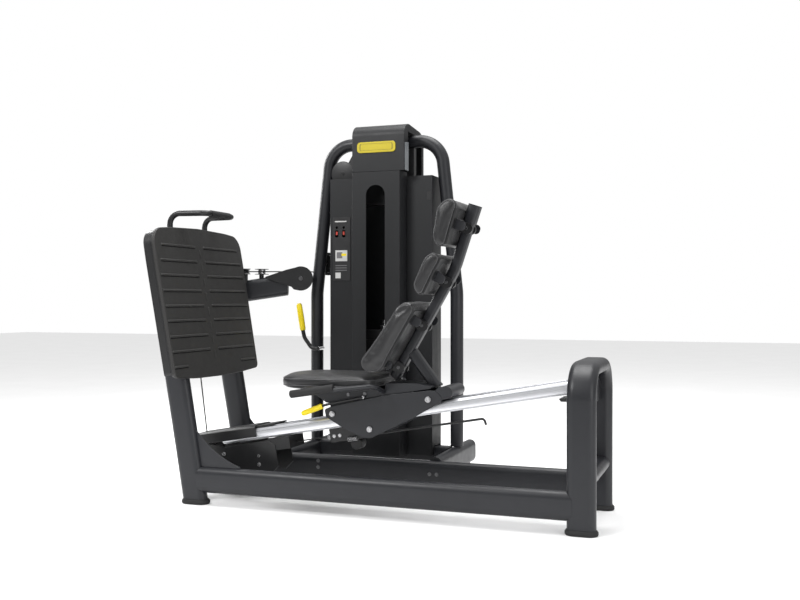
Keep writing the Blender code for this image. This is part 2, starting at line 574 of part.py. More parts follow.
for tag, sx in (("left", -1), ("right", 1)):
    p = side_path(sx)
    ob = make("side_shroud_" + tag, prism(channel(p if sx > 0 else list(reversed(p)), SHROUD_T), "Z", 0.1150, SH_Z1), "shroud")
    # the lower edge clears the crossbar between the ties
    cut(ob, box((TOWER_X + min(sx * 0.20, sx * 0.26), 0.668, 0.10), (TOWER_X + max(sx * 0.20, sx * 0.26), 0.740, SH_Z0)), "crossbar_notch_" + tag)
    if sx < 0:
        cut(ob, box((-1.180, 0.666, 1.165), (-1.150, 0.736, 1.30)), "cable_notch")
make("rear_shroud", box((TOWER_X - 0.2120, SHROUD_BACK + GAP, 0.1150), (TOWER_X + 0.2120, SHROUD_BACK + 0.003, SH_Z1)), "shroud", smooth=False)

# cap: hollow shell, open below, that sits over the hoop's middle
CAP_L, CAP_R = -1.0340, -0.8050
CAP_B, CAP_Z0, CAP_Z1 = 0.826, CS_Z1 + GAP, 1.475


def cap_side(off, k):
    f, b, z1, r = CENTRE_Y + off, CAP_B - off, CAP_Z1 - off, 0.062 - off
    pts = [(f, CAP_Z0)] + [(f + r + r * cos(a), z1 - r * 0.82 + r * 0.82 * sin(a)) for a in [pi - pi / 2 * i / k for i in range(k + 1)]]
    pts += [(b - r + r * cos(a), z1 - 0.010 - r + r * sin(a)) for a in [pi / 2 - pi / 2 * i / k for i in range(k + 1)]]
    pts += [(b, CAP_Z0)]
    return pts


def cap_bm(k):
    bm = bmesh.new()
    outer = cap_side(0, k)
    inner = cap_side(0.003, k)
    rows = [[bm.verts.new((x, y, z)) for y, z in pts] for x, pts in
            ((CAP_L, outer), (CAP_R, outer), (CAP_R - 0.003, inner), (CAP_L + 0.003, inner))]
    n = len(outer)
    for i in range(n - 1):
        bm.faces.new((rows[0][i], rows[0][i + 1], rows[1][i + 1], rows[1][i]))
        bm.faces.new((rows[3][i], rows[3][i + 1], rows[2][i + 1], rows[2][i]))
    bm.faces.new(rows[0])
    bm.faces.new(rows[1])
    bm.faces.new(rows[3])
    bm.faces.new(rows[2])
    bm.faces.new((rows[0][0], rows[1][0], rows[2][0], rows[3][0]))
    bm.faces.new((rows[0][-1], rows[1][-1], rows[2][-1], rows[3][-1]))
    bm.faces.new((rows[0][0], rows[3][0], rows[3][-1], rows[0][-1]))
    bm.faces.new((rows[1][0], rows[2][0], rows[2][-1], rows[1][-1]))
    return bm


cap = make("tower_cap", cap_bm(6), "shroud")
# both sides are open behind the front shell, where the hoop and the cable pass
cut(cap, box((CAP_L - 0.02, 0.6240, 1.20), (CAP_R + 0.02, 0.8000, 1.4415)), "side_opening")
make("cap_strip", prism(round_poly([(0.5790, CAP_Z0 + 0.002), (0.6220, CAP_Z0 + 0.002), (0.6220, 1.398), (0.5790, 1.392)], 0.003, 1), "X",
                        CAP_R + GAP, CAP_R + 0.0025), "strip")
make("badge", prism(round_poly([(-0.084, -0.022), (0.084, -0.022), (0.084, 0.022), (-0.084, 0.022)], 0.014, 3), "Y",
                    CENTRE_Y - 0.0034, CENTRE_Y - GAP, origin=(-0.9265, 0, 1.3780)), "yellow")
make("placard", prism(round_rect(0.080, 0.268, 0.003, 1), "Y", SHROUD_Y - 0.0024, SHROUD_Y - GAP, origin=(-1.1080, 0, 0.967)), "print", smooth=False)

# ---------------------------------------------------- arm to the footplate
ARM_A = Vector((-1.5650, 0.5600, 0.7833))        # arm axis beside the footplate's back
ARM_B = Vector((-1.3000, 0.6500, 0.8430))        # axle of the arm's end pulley
CABLE_Z = 0.8730                                 # height of the cable's level run
ARM_H = Vector((ARM_B.x - ARM_A.x, ARM_B.y - ARM_A.y, 0)).normalized()
ARM_N = Vector((ARM_H.y, -ARM_H.x, 0))           # square to the arm, towards the user
UPZ = Vector((0, 0, 1))
ARM_LEN = (Vector((ARM_B.x, ARM_B.y, 0)) - Vector((ARM_A.x, ARM_A.y, 0))).length
ARM_RISE = 0.150


def arm_pt(s, n=0.0, z=None):
    """Point s along the arm in plan, n towards the user."""
    p = ARM_A + ARM_H * s + ARM_N * n
    p.z = ARM_A.z + ARM_RISE * s if z is None else z
    return p


def arm_body(k):
    sec = stadium(0.092, 0.046, k)
    return loft([[arm_pt(s, v) + UPZ * x for x, v in sec] for s in (-0.030, ARM_LEN - 0.058)])


arm = make("arm_tube", arm_body(K), "frame_paint")
make("arm_foot", box((-1.5900, Y_FAR + TUBE_T / 2 + GAP, 0.7450), (-1.5300, 0.5500, 0.8100)), "frame_paint", smooth=False)


def teardrop(r, k, tail):
    """Disc at the axle with a tail back along the arm."""
    pts = [(r * cos(a), r * sin(a)) for a in [radians(-100) + radians(215) * i / k for i in range(k + 1)]]
    return pts + tail


AX_ARM = (ARM_H, UPZ, ARM_N)
front_tail = [(-0.060, 0.0380), (-0.150, 0.0080), (-0.156, 0.0020), (-0.040, -0.0360), (-0.030, -0.0470)]
make("arm_guard_front", prism(teardrop(0.052, 18, front_tail), AX_ARM, 0.0272, 0.0306, origin=ARM_B), "black_paint")
make("arm_guard_rear", prism(teardrop(0.036, 14, [(-0.060, 0.0240), (-0.100, 0.0100), (-0.100, -0.0250), (-0.040, -0.0330)]), AX_ARM, -0.0306, -0.0272, origin=ARM_B), "black_paint")
make("arm_pulley_axle", lathe([(0.0058, -0.0290), (0.0058, 0.0290)], AX_ARM, ARM_B, 12), "steel")
make("arm_pulley", pulley(ARM_B, 0.030, 0.010, 0.0063, AX_ARM, 22), "plastic", pivot=ARM_B)

# pulley behind the tower leg that turns the cable upwards
LG = Vector((-1.2250, 0.7480, CABLE_Z + 0.036))
make("leg_pulley", pulley(LG, 0.036, 0.010, 0.0063, "Y", 22), "plastic", pivot=LG)
bm = bmesh.new()
lathe([(0.0500, 0.7610), (0.0500, 0.7645)], "Y", (LG.x, 0, LG.z), 22, bm=bm)
make("leg_pulley_guard", bm, "black_paint")
make("leg_pulley_axle", lathe([(0.0058, 0.7272), (0.0058, 0.7630)], "Y", (LG.x, 0, LG.z), 12), "steel")

# two level pulleys on the arm that guide the cable, between guard plates
T1, T2 = Vector((-1.5245, 0.5505, CABLE_Z)), arm_pt(0.105, -0.0195, CABLE_Z)
bm = bmesh.new()
ringbody([(0.0063, -0.008), (0.025, -0.008), (0.025, -0.006), (0.0185, -0.001), (0.0185, 0.001), (0.025, 0.006), (0.025, 0.008), (0.0063, 0.008)], "Z", T1, 18, bm=bm)
make("turn_pulley", bm, "plastic", pivot=T1)
for n, c, r, rs in ((1, T1, 0.028, 0.0058), (2, T2, 0.030, 0.0160)):
    make("turn_guard_%d_low" % n, lathe([(r, -0.0120), (r, -0.0095)], "Z", c, 22), "black_paint")
    make("turn_guard_%d_top" % n, lathe([(r, 0.0095), (r, 0.0120)], "Z", c, 22), "black_paint")
    make("turn_guard_%d_hub" % n, lathe([(rs, -0.0100), (rs, 0.0100)], "Z", c, 12), "steel")
for n, (sp, dn, z0) in enumerate(((0.040, 0.012, 0.822), (0.105, -0.012, 0.832))):
    tc = arm_pt(sp, dn, 0.0)
    make("turn_guard_post_%d" % n, lathe([(0.0100, z0), (0.0100, CABLE_Z - 0.0105)], "Z", (tc.x, tc.y, 0), 12), "black_paint")

# pulley behind the footplate at the top of the rising cable
RD = Vector((0.0275, 0.3485, 0)).normalized()
RP = Vector((-1.5740, Y_MID, CABLE_Z - 0.034)) + RD * 0.034
AX_R = (RD, UPZ, RD.cross(UPZ))
make("rise_pulley", pulley(RP, 0.034, 0.009, 0.0063, AX_R, 22), "plastic", pivot=RP)
make("rise_pulley_axle", lathe([(0.0058, -0.0120), (0.0058, 0.0580)], AX_R, RP, 12), "steel")

# -------------------------------------------------------------- footplate
FP_Y, FP_HALF = 0.1950, 0.3175
FP_O = Vector((-1.4310, FP_Y, 0.4700))
AX_F = (Vector((0, 1, 0)), LEAN_V, LEAN_U)       # outline (y, height), towards the user


def foot_outline(k, g=0.0):
    w = FP_HALF - g
    pts = [(-0.16, -0.0105 + g), (0.0, -0.0130 + g), (0.16, -0.0105 + g), (w - 0.0075, 0.0 + g), (w, 0.440), (w - 0.002, 0.5535 - g),
           (0.20, 0.5640 - g), (0.0, 0.5705 - g), (-0.20, 0.5640 - g), (-w + 0.002, 0.5535 - g), (-w, 0.440), (-w + 0.0075, 0.0 + g)]
    return round_poly(pts, [0.3, 0.3, 0.3, 0.022, 0.4, 0.075, 0.35, 0.5, 0.35, 0.075, 0.4, 0.022], k)


make("footplate_mat", prism(foot_outline(4), AX_F, -0.0130, 0.0, origin=FP_O), "mat_rubber")
make("footplate_backing", prism(foot_outline(3, 0.004), AX_F, -0.0209, -0.0134, origin=FP_O), "black_paint")
# pulley and handle carriers behind the plate


def back_pt(y, h, n):
    return FP_O + Vector((0, y - FP_Y, 0)) + LEAN_V * h + LEAN_U * n


HDL_X, HDL_DY = -1.5820, 0.1246
BAR_X, BAR_DY, BAR_Z = -1.4375, 0.1024, 1.0830
for sy in (-1, 1):
    y = Y_MID + sy * HDL_DY
    c = back_pt(y, 0.385, -0.0190)
    make("handle_mount_%d" % (sy + 1), box((HDL_X + 0.0115, y - 0.014, c.z - 0.030), (c.x, y + 0.014, c.z + 0.020)), "black_paint", smooth=False)


def handle_path(k):
    y0, y1 = Y_MID - HDL_DY, Y_MID + HDL_DY
    return bend_path([(HDL_X, y0, 0.790), (HDL_X, y0, BAR_Z), (BAR_X, Y_MID - BAR_DY, BAR_Z), (BAR_X, Y_MID + BAR_DY, BAR_Z), (HDL_X, y1, BAR_Z), (HDL_X, y1, 0.790)],
                     [0.040, 0.028, 0.028, 0.040], k)


make("footplate_handle", tube3d(handle_path(5), 0.0110, 10), "black_paint")
make("handle_grip", ringbody([(0.0100, -0.070), (0.0130, -0.070), (0.0135, -0.068), (0.0135, 0.068), (0.0130, 0.070), (0.0100, 0.070)], "Y", (BAR_X, Y_MID, BAR_Z), 14), "rubber")

# ------------------------------------------------------- tower hand lever
LV_Y = 0.6420
LV_P = Vector((-1.2200, LV_Y, 0.5440))           # lever pivot, on a stub from the tower leg


def lever_path(k):
    return bend_path([(-1.2200, LV_Y, 0.5440), (-1.2480, LV_Y, 0.5440), (-1.2830, LV_Y, 0.5900), (-1.2890, LV_Y, 0.6180), (-1.3060, LV_Y, 0.7260)], [0.030, 0.05, 0.05], k)


make("lever_stem", tube3d(lever_path(4), 0.0085, 10), "black_paint", pivot=LV_P)
gd = (Vector((-1.3085, LV_Y, 0.7360)) - Vector((-1.2890, LV_Y, 0.6180))).normalized()
gu = gd.cross(Vector((0, 1, 0))).normalized()
make("lever_grip", lathe([(0.0105, -0.001), (0.0122, 0.004), (0.0128, 0.050), (0.0120, 0.108), (0.0080, 0.116)], (gu, Vector((0, 1, 0)), gd),
                         Vector((-1.2890, LV_Y, 0.6180)) + gd * 0.004, 12), "yellow", pivot=LV_P)
make("lever_pivot", lathe([(0.0080, 0.6510), (0.0080, 0.6950)], "Y", (LV_P.x, 0, LV_P.z), 12), "steel")

# ------------------------------------------------------------- carriage
PL_Y0, PL_Y1, PL_T = 0.1200, 0.2750, 0.0080      # near plate's outer face, far plate's inner face


def side_outline(k):
    pts = [(-0.9540, 0.3520), (-0.9480, 0.3240), (-0.8800, 0.2870), (-0.8020, 0.2550), (-0.7720, 0.2550), (-0.7500, 0.2660), (-0.6140, 0.3330),
           (-0.5060, 0.3960), (-0.5060, 0.4120), (-0.5270, 0.4330), (-0.5500, 0.4340), (-0.7220, 0.4110), (-0.8560, 0.3800), (-0.9310, 0.3620)]
    return round_poly(pts, [0.010, 0.008, 0.08, 0.016, 0.016, 0.02, 0.1, 0.02, 0.012, 0.016, 0.02, 0.1, 0.1, 0.02], k)


AX1 = rail_pt(0.1905, RAIL_H - 0.010 + WHEEL_R + GAP)      # front axle
AX3 = rail_pt(0.5630, RAIL_H - 0.010 + WHEEL_R + GAP)      # rear axle
AX2 = rail_pt(0.3260, -LOW_WHEEL_R - GAP)                  # lower axle
for tag, y0 in (("near", PL_Y0), ("far", PL_Y1)):
    ob = make("side_plate_" + tag, prism(side_outline(3), "Y", y0, y0 + PL_T), "frame_paint")
    bm = bmesh.new()
    for a in (AX1, AX2, AX3):
        lathe([(0.0064, y0 - 0.01), (0.0064, y0 + 0.02)], "Y", (a.x, 0, a.z), 10, bm=bm)
    cut(ob, bm, "axle_holes_" + tag)

def axle(a):
    y0, y1 = PL_Y0 - GAP, PL_Y1 + PL_T + GAP
    return lathe([(0.0105, y0 - 0.0056), (0.0105, y0), (0.0058, y0), (0.0058, y1), (0.0105, y1), (0.0105, y1 + 0.0056)], "Y", (a.x, 0, a.z), 12)


TOP_Y = ((Y_MID - 0.0260, Y_MID - 0.0120), (Y_MID + 0.0120, Y_MID + 0.0260))
LOW_Y = ((0.1440, 0.1600), (0.2430, 0.2590))
for tag, a, r, ys in (("front", AX1, WHEEL_R, TOP_Y), ("rear", AX3, WHEEL_R, TOP_Y), ("lower", AX2, LOW_WHEEL_R, LOW_Y)):
    make("wheels_" + tag, axle(a), "steel", pivot=a)
    for n, (y0, y1) in enumerate(ys):
        make("wheel_%s_%d" % (tag, n), ringbody([(0.0050, y0), (r - 0.001, y0), (r, y0 + 0.001), (r, y1 - 0.001), (r - 0.001, y1), (0.0050, y1)],
                                                "Y", (a.x, 0, a.z), 18), "plastic", pivot=a)

# rear cross tube of the carriage
ct = rail_pt(0.6225, RAIL_H + 0.0225 + 0.0020)
make("carriage_tube", prism([(x, t) for x, t in stadium(0.064, 0.044, 5)], (RU, RW, Vector((0, 1, 0))), PL_Y0 + 0.002, PL_Y1 + PL_T - 0.002, origin=(ct.x, 0, ct.z)), "frame_paint")

# seat support between the side plates
SUP = [(-0.9920, 0.4300), (-0.9920, 0.4020), (-0.9500, 0.3760), (-0.9200, 0.3740), (-0.6000, 0.4300), (-0.5480, 0.4390), (-0.5480, 0.4470),
       (-0.6000, 0.4560), (-0.7200, 0.4540), (-0.7200, 0.4300)]
make("seat_support", prism(round_poly(SUP, 0.004, 1), "Y", PL_Y0 + PL_T + GAP, PL_Y1 - GAP), "frame_paint", smooth=False)

# --------------------------------------------------- trolley under the rail
TR_S0, TR_S1 = 0.1450, 0.3000
b = prism(round_poly([(TR_S0, -0.0530), (TR_S1 - 0.030, -0.0530), (TR_S1, -0.0400), (TR_S1, -0.0006), (TR_S0, -0.0006)], 0.004, 1),
          (RU, RW, Vector((0, 1, 0))), Y_MID - 0.036, Y_MID + 0.036, origin=(RAIL_X0, 0, RAIL_Z0))
make("trolley_block", b, "black_paint", smooth=False)
bm = bmesh.new()
c = rail_pt(TR_S0 - 0.016, CABLE_T)
lathe([(0.0070, -0.0100), (0.0110, -0.0040), (0.0110, 0.0185)], (Vector((0, 1, 0)), RW, RU), c, 12, bm=bm)
make("cable_anchor", bm, "steel")


# adjuster drum below the trolley, and its stop rod
tc = rail_pt(0.2400, -0.0690)
make("trolley_drum", lathe([(0.0200, -0.0240), (0.0220, -0.0220), (0.0220, 0.0220), (0.0200, 0.0240)], "Y", (tc.x, Y_MID, tc.z), 20), "plastic")
rod = bend_path([rail_pt(0.2700, -0.0450), rail_pt(0.7300, -0.0450), rail_pt(0.7330, -0.0680)], 0.012, 4)
make("stop_rod", tube3d(rod, 0.0042, 8), "black_paint")

# ------------------------------------------------------------ release lever
RL_Y = 0.1110
RLP = Vector((-0.8000, RL_Y, 0.4020))
p = [(-0.8000, RL_Y, 0.4020), (-0.9440, RL_Y, 0.3700), (-1.0300, RL_Y, 0.3370)]
make("release_lever", tube3d(bend_path(p, 0.10, 3), 0.0045, 8), "black_paint", pivot=RLP)
rd = (Vector(p[2]) - Vector(p[1])).normalized()
ru = rd.cross(Vector((0, 1, 0))).normalized()
gp = Vector(p[1]) + rd * 0.014
make("release_grip", lathe([(0.0085, 0.0), (0.0100, 0.004), (0.0104, 0.040), (0.0100, 0.080), (0.0070, 0.088)], (ru, Vector((0, 1, 0)), rd), gp, 12), "yellow", pivot=RLP)
make("release_pivot", lathe([(0.0060, 0.1100), (0.0060, 0.1196)], "Y", (RLP.x, 0, RLP.z), 10), "steel")

# ----------------------------------------------------------- seat handles
GR_D = Vector((0.1690, 0, 0.0280)).normalized()
for tag, y, s in (("near", 0.0300, 1), ("far", 2 * Y_MID - 0.0300, -1)):
    a = Vector((-1.0470, y, 0.4120))
    e = PL_Y0 + 0.0055 if s > 0 else PL_Y1 + 0.0025
    pts = [a + GR_D * 0.004, (-0.7250, y, 0.4520), (-0.7250, e, 0.4238)]
    make("seat_handle_" + tag, tube3d(bend_path(pts, 0.030, 4), 0.0080, 10), "frame_paint")
    g = lathe([(0.0115, 0.0), (0.0140, 0.003), (0.0145, 0.080), (0.0140, 0.168), (0.0120, 0.171)], (GR_D.cross(Vector((0, 1, 0))), Vector((0, 1, 0)), GR_D), a, 12)
    make("handle_grip_" + tag, g, "rubber")

# ---------------------------------------------------------------- backrest
POST_W, POST_T = 0.0360, 0.0400
PB0, PB1, PB2 = Vector((-0.7130, Y_MID, 0.4620)), Vector((-0.4814, Y_MID, 0.8576)), Vector((-0.4110, Y_MID, 1.0700))


def post_path(k):
    d = (PB1 - PB0)
    a = PB0 + d * ((0.4700 - PB0.z) / d.z)
    return bend_path([a, PB1, PB2], 0.30, k)


post = make("backrest_post", sweep(post_path(4), round_rect(POST_W, POST_T, 0.010, 2), (0, 1, 0)), "frame_paint")
cut(post, box((-0.80, 0.15, 0.40), (-0.66, 0.26, 0.4544)), "post_foot")
UD = (PB2 - PB1).normalized()
UN = Vector((0, 1, 0)).cross(UD)
b = sweep([PB2 - UD * 0.048, PB2 + UD * 0.019], round_rect(0.0450, 0.0480, 0.014, 3), (0, 1, 0))
make("post_sleeve", b, "frame_paint")
# strut from the post down to the back of the carriage
ST0, ST1 = Vector((-0.6420, Y_MID, 0.5650)), Vector((-0.5640, Y_MID, 0.4620))
sd = (ST1 - ST0).normalized()
strut = make("backrest_strut", sweep([ST0 + sd * 0.004, ST1 + sd * 0.03], round_rect(0.0400, 0.0400, 0.012, 2), (0, 1, 0)), "frame_paint")
cut(strut, prism([(-1.0, 0.30), (-0.3, 0.30), (-0.3, 0.4445), (-0.5440, 0.4475), (-0.6000, 0.4565), (-0.7200, 0.4545), (-1.0, 0.4545)], "Y", 0.10, 0.30), "strut_foot")

# brackets beside the post that carry the pads
LD = (PB1 - PB0).normalized()


def bracket(cz, d, off, n):
    """Tab pair at height cz, reaching from the pad's back over the post's side."""
    base = PB1 + d * ((cz - PB1.z) / d.z)
    front = d.cross(Vector((0, 1, 0)))            # from the post towards the pad
    if front.x > 0:
        front = -front
    o = [(-0.020, off), (0.020, off), (0.020, -0.004)] + [(0.020 * cos(a), -0.004 + 0.020 * sin(a)) for a in [-pi * i / 6 for i in range(1, 6)]] + [(-0.020, -0.004)]
    for k, (y0, y1) in enumerate(((0.1742, 0.1835), (0.2195, 0.2288))):
        make("pad_bracket_%d%d" % (n, k), prism(o, (d, front, Vector((0, 1, 0))), y0, y1, origin=(base.x, 0, base.z)), "black_paint")


for n, (cz, d) in enumerate(((1.0050, UD), (0.8150, LD), (0.6600, LD), (0.5080, LD))):
    bracket(cz, d, 0.0188, n)

# ----------------------------------------------------------------- cushions
PAD_Y0, PAD_Y1 = 0.0600, 0.3430


def pad_body(outline, r, k, y0=PAD_Y0, y1=PAD_Y1, edge=0.010):
    """Cushion: a side profile carried across, with its two ends rounded in."""
    n = len(outline)
    cx, cz = sum(p[0] for p in outline) / n, sum(p[1] for p in outline) / n
    o = round_poly(outline, r, k)
    rings = []
    for y, g in ((y0, edge), (y0 + edge * 0.35, edge * 0.35), (y0 + edge, 0.0), (y1 - edge, 0.0), (y1 - edge * 0.35, edge * 0.35), (y1, edge)):
        ring = []
        for x, z in o:
            d = Vector((x - cx, z - cz))
            f = 1 - g / max(0.02, d.length)
            ring.append(Vector((cx + d.x * f, y, cz + d.y * f)))
        rings.append(ring)
    return loft(rings)


HEAD = [(-0.5020, 1.0760), (-0.4800, 1.0960), (-0.4580, 1.1040), (-0.4400, 1.0940), (-0.4370, 1.0780), (-0.4800, 0.9360), (-0.4920, 0.9330), (-0.5150, 0.9480), (-0.5200, 0.9760)]
MID = [(-0.5230, 0.9180), (-0.5480, 0.8990), (-0.5930, 0.8030), (-0.5860, 0.7830), (-0.5720, 0.7660), (-0.5640, 0.7660), (-0.4920, 0.9060)]
LUMBAR = [(-0.6220, 0.7490), (-0.6490, 0.7300), (-0.7960, 0.5310), (-0.7900, 0.5070), (-0.7620, 0.4900), (-0.7260, 0.4980), (-0.7130, 0.5080), (-0.5860, 0.7250), (-0.5960, 0.7440)]
make("head_pad", pad_body(HEAD, 0.012, 2), "leatherette")
make("middle_pad", pad_body(MID, 0.012, 2), "leatherette")
make("lumbar_pad", pad_body(LUMBAR, 0.012, 2), "leatherette")

SEAT_Z0, SEAT_Z1 = 0.4325, 0.4740


def seat_outline(k, g=0.0):
    pts = [(-1.0980 + g, 0.0430 + g), (-1.1550 + g, 0.2015), (-1.0980 + g, 0.3600 - g), (-0.7400 - g, 0.3520 - g), (-0.7400 - g, 0.0510 + g)]
    return round_poly(pts, [0.075, 0.16, 0.075, 0.045, 0.045], k)


o0, o1 = seat_outline(4, 0.010), seat_outline(4)
rings = [[Vector((x, y, SEAT_Z0)) for x, y in o0], [Vector((x, y, SEAT_Z0 + 0.008)) for x, y in o1], [Vector((x, y, SEAT_Z1 - 0.010)) for x, y in o1],
         [Vector((x, y, SEAT_Z1)) for x, y in seat_outline(4, 0.014)], [Vector((x, y, SEAT_Z1 + 0.007)) for x, y in seat_outline(4, 0.060)]]
make("seat_cushion", loft(rings), "leatherette")

# ------------------------------------------------------------------- cables
bm = tube3d([rail_pt(-0.145 + 0.0, CABLE_T), rail_pt(TR_S0 - 0.0262, CABLE_T)], CABLE_R, 8)
make("cable_trolley", bm, "cable")


def wrap(c, u, v, r, a0, a1, n):
    """Points round a pulley from angle a0 to a1, in the plane of u and v."""
    return [Vector(c) + u * (r * cos(a0 + (a1 - a0) * i / n)) + v * (r * sin(a0 + (a1 - a0) * i / n)) for i in range(n + 1)]


XX, ZZ = Vector((1, 0, 0)), Vector((0, 0, 1))
run = [rail_pt(-0.1455, CABLE_T), rail_pt(-0.300, CABLE_T + 0.001)]
low = wrap(LP, XX, ZZ, 0.034, radians(-82), radians(-172), 5)
up = wrap(RP, RD, ZZ, 0.034, pi, pi / 2, 5)
turn = wrap(T1, XX, Vector((0, 1, 0)), 0.0220, radians(175.5), radians(108.8), 4)
arm_run = [arm_pt(ARM_LEN - 0.02, 0.0, CABLE_Z)]
zc = CABLE_Z
over = [ARM_B + ZZ * 0.030, ARM_B + ARM_H * 0.0245 + ZZ * 0.030, Vector((-1.2745, 0.6900, zc)), Vector((-1.2745, 0.7100, zc)), Vector((-1.2680, 0.7320, zc)),
        Vector((-1.2500, 0.7450, zc))]
leg = wrap(LG, XX, ZZ, 0.036, radians(-90), radians(0), 5)
side = wrap((TPX, TOWER_Y, TPZ), XX, ZZ, TPR, pi, pi / 2, 5)
cen = wrap((CPX, TOWER_Y, CPZ), XX, ZZ, CPR, pi / 2, 0, 5)
make("cable_main", tube3d(run + low + up + turn + arm_run + over + leg + side + cen, CABLE_R, 6), "cable")
make("cable_drop", tube3d([Vector((TOWER_X, STACK_Y, CPZ - 0.0004)), Vector((TOWER_X, STACK_Y, Z2 + 0.0825))], CABLE_R, 8), "cable")

# ------------------------------------------------ welded and pressed joints
def weld(name, members):
    """Union of pieces that are welded, pressed or bonded to one another."""
    base = bpy.data.objects[members[0]]
    for m in members[1:]:
        ob = bpy.data.objects[m]
        ob.hide_render = True
        ob.display_type = "WIRE"
        ob.name = "tool_" + m
        mod = base.modifiers.new("weld_" + m, "BOOLEAN")
        mod.operation = "UNION"
        mod.solver = "EXACT"
        mod.object = ob
    base.name = name
    base.data.materials[0].name = name + "_mat"


weld("front_upright_near", ["front_upright_near", "front_gusset_near", "foot_front_near"])
weld("front_upright_far", ["front_upright_far", "front_gusset_far", "foot_front_far"])
weld("rear_arch", ["rear_arch", "foot_rear_near", "foot_rear_far"])
weld("rail_end_beam", ["rail_end_beam", "rail_end_bracket"])
weld("rail_cover", ["rail_front_cover", "cover_tongue"])
weld("pulley_housing", ["housing_plate_near", "housing_axle_front", "housing_axle_riser", "housing_plate_far", "cable_guide_block"])
for t in ("left", "right"):
    weld("tower_tie_" + t, ["tower_tie_" + t, "tie_foot_rear_" + t, "tie_foot_front_" + t, "tie_cap_" + t])
weld("tower_hoop", ["tower_hoop", "lever_pivot"])
weld("stack_guides", ["stack_yoke", "guide_rod_0", "guide_rod_2"])
weld("head_plate", ["head_plate", "selector_rod"])
weld("selector_pin", ["selector_pin", "pin_knob"])
weld("top_pulley_hanger", ["hanger_front", "top_axle_side", "top_axle_centre", "hanger_rear", "top_pulley_guard"])
weld("arm_pulley_guard", ["arm_guard_front", "arm_pulley_axle", "arm_guard_rear"])
weld("leg_pulley_guard", ["leg_pulley_guard", "leg_pulley_axle"])
weld("arm_tube", ["arm_tube", "arm_foot", "turn_guard_post_0", "turn_guard_post_1", "turn_guard_1_low", "turn_guard_1_hub", "turn_guard_1_top", "turn_guard_2_low", "turn_guard_2_hub", "turn_guard_2_top"])
weld("footplate_frame", ["footplate_backing", "handle_mount_0", "handle_mount_2", "rise_pulley_axle"])
weld("foot_handle", ["footplate_handle", "handle_grip"])
weld("tower_lever", ["lever_stem", "lever_grip"])
weld("trolley", ["trolley_block", "cable_anchor", "trolley_drum", "stop_rod"])
weld("carriage_frame", ["side_plate_near", "carriage_tube", "side_plate_far"])
for t in ("front", "rear", "lower"):
    weld("wheels_" + t, ["wheels_" + t, "wheel_%s_0" % t, "wheel_%s_1" % t])
for t in ("near", "far"):
    weld("seat_handle_" + t, ["seat_handle_" + t, "handle_grip_" + t])
weld("release_lever", ["release_lever", "release_grip", "release_pivot"])
weld("backrest_post", ["backrest_post", "backrest_strut", "post_sleeve"] + ["pad_bracket_%d%d" % (n, k) for n in range(4) for k in range(2)])
bpy.data.objects.remove(bpy.data.objects["cap_strip"], do_unlink=True)

# ------------------------------------------------------ place the machine
for _o in bpy.data.objects:
    if _o.parent is None:
        _o.location.x += SHIFT_X
        _o.location.y += SHIFT_Y
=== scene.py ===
import bpy
import bmesh
import json
from math import sin, cos, tan, pi, radians, degrees, hypot, atan2, exp
from mathutils import Vector, Matrix, noise


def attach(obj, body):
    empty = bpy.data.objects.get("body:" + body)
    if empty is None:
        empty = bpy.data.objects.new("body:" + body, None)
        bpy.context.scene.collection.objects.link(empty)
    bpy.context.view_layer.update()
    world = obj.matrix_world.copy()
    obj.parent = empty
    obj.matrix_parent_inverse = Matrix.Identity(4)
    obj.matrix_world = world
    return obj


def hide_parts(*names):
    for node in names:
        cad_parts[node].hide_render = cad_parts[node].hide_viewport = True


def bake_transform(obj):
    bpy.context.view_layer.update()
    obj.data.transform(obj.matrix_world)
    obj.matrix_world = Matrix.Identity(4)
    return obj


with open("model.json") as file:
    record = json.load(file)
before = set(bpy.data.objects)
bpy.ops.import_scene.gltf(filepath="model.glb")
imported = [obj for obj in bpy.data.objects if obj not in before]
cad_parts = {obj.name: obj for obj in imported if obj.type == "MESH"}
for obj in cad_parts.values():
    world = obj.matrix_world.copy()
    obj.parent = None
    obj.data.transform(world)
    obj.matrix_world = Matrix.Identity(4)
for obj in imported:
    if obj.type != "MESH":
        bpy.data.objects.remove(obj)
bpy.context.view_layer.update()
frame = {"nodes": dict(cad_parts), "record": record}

NODE_OF = {}
MADE = {}
BODY_OF = {}
for _b, _ns in frame["record"]["behaviour"]["bodies"].items():
    for _n in _ns:
        BODY_OF[_n] = _b

# ----------------------------------------------------------------- sizes
SHIFT_X = 0.7812         # working frame -> floor origin under the box centre
SHIFT_Y = -0.3918
GAP = 0.0004             # gap between pieces that touch

TUBE_W = 0.095           # flat-oval tube, long side
TUBE_T = 0.050           # flat-oval tube, short side
Y_NEAR = 0.0             # centreline of the near frame side
Y_FAR = 0.403            # centreline of the far frame side
Y_MID = 0.2015           # middle of the rail, seat and footplate
BASE_Z = 0.0895          # centre height of the base tubes

LEAN = radians(10.0)     # front uprights lean towards -X
FRONT_X0 = -1.418        # upright axis at floor level
UP_TOP = 0.850           # upright top height

ARCH_TOP = 0.5270        # centreline height of the rear arch
ARCH_R = 0.100           # corner radius of the rear arch

RAIL_ANG = radians(10.1)
RAIL_X0, RAIL_Z0 = -1.100, 0.2495   # a point on the rail's bottom line
RAIL_W = 0.123
RAIL_H = 0.044
RAIL_S0, RAIL_S1 = -0.291, 1.0930   # ends along the rail

TOWER_Y = 0.700          # plane of the tower hoop
TOWER_X = -0.934         # middle of the tower
TOWER_R = 0.0265         # hoop tube radius
STACK_Y = 0.700
STACK_W, STACK_D, PLATE_T = 0.300, 0.096, 0.030
STACK_Z0 = 0.165
N_STATIC, N_LIFT = 11, 3
ROD_DX = 0.100           # guide rods either side of the middle
SHROUD_Y = 0.640         # front of the side shrouds
SHROUD_BACK = 0.800
SHROUD_T = 0.003

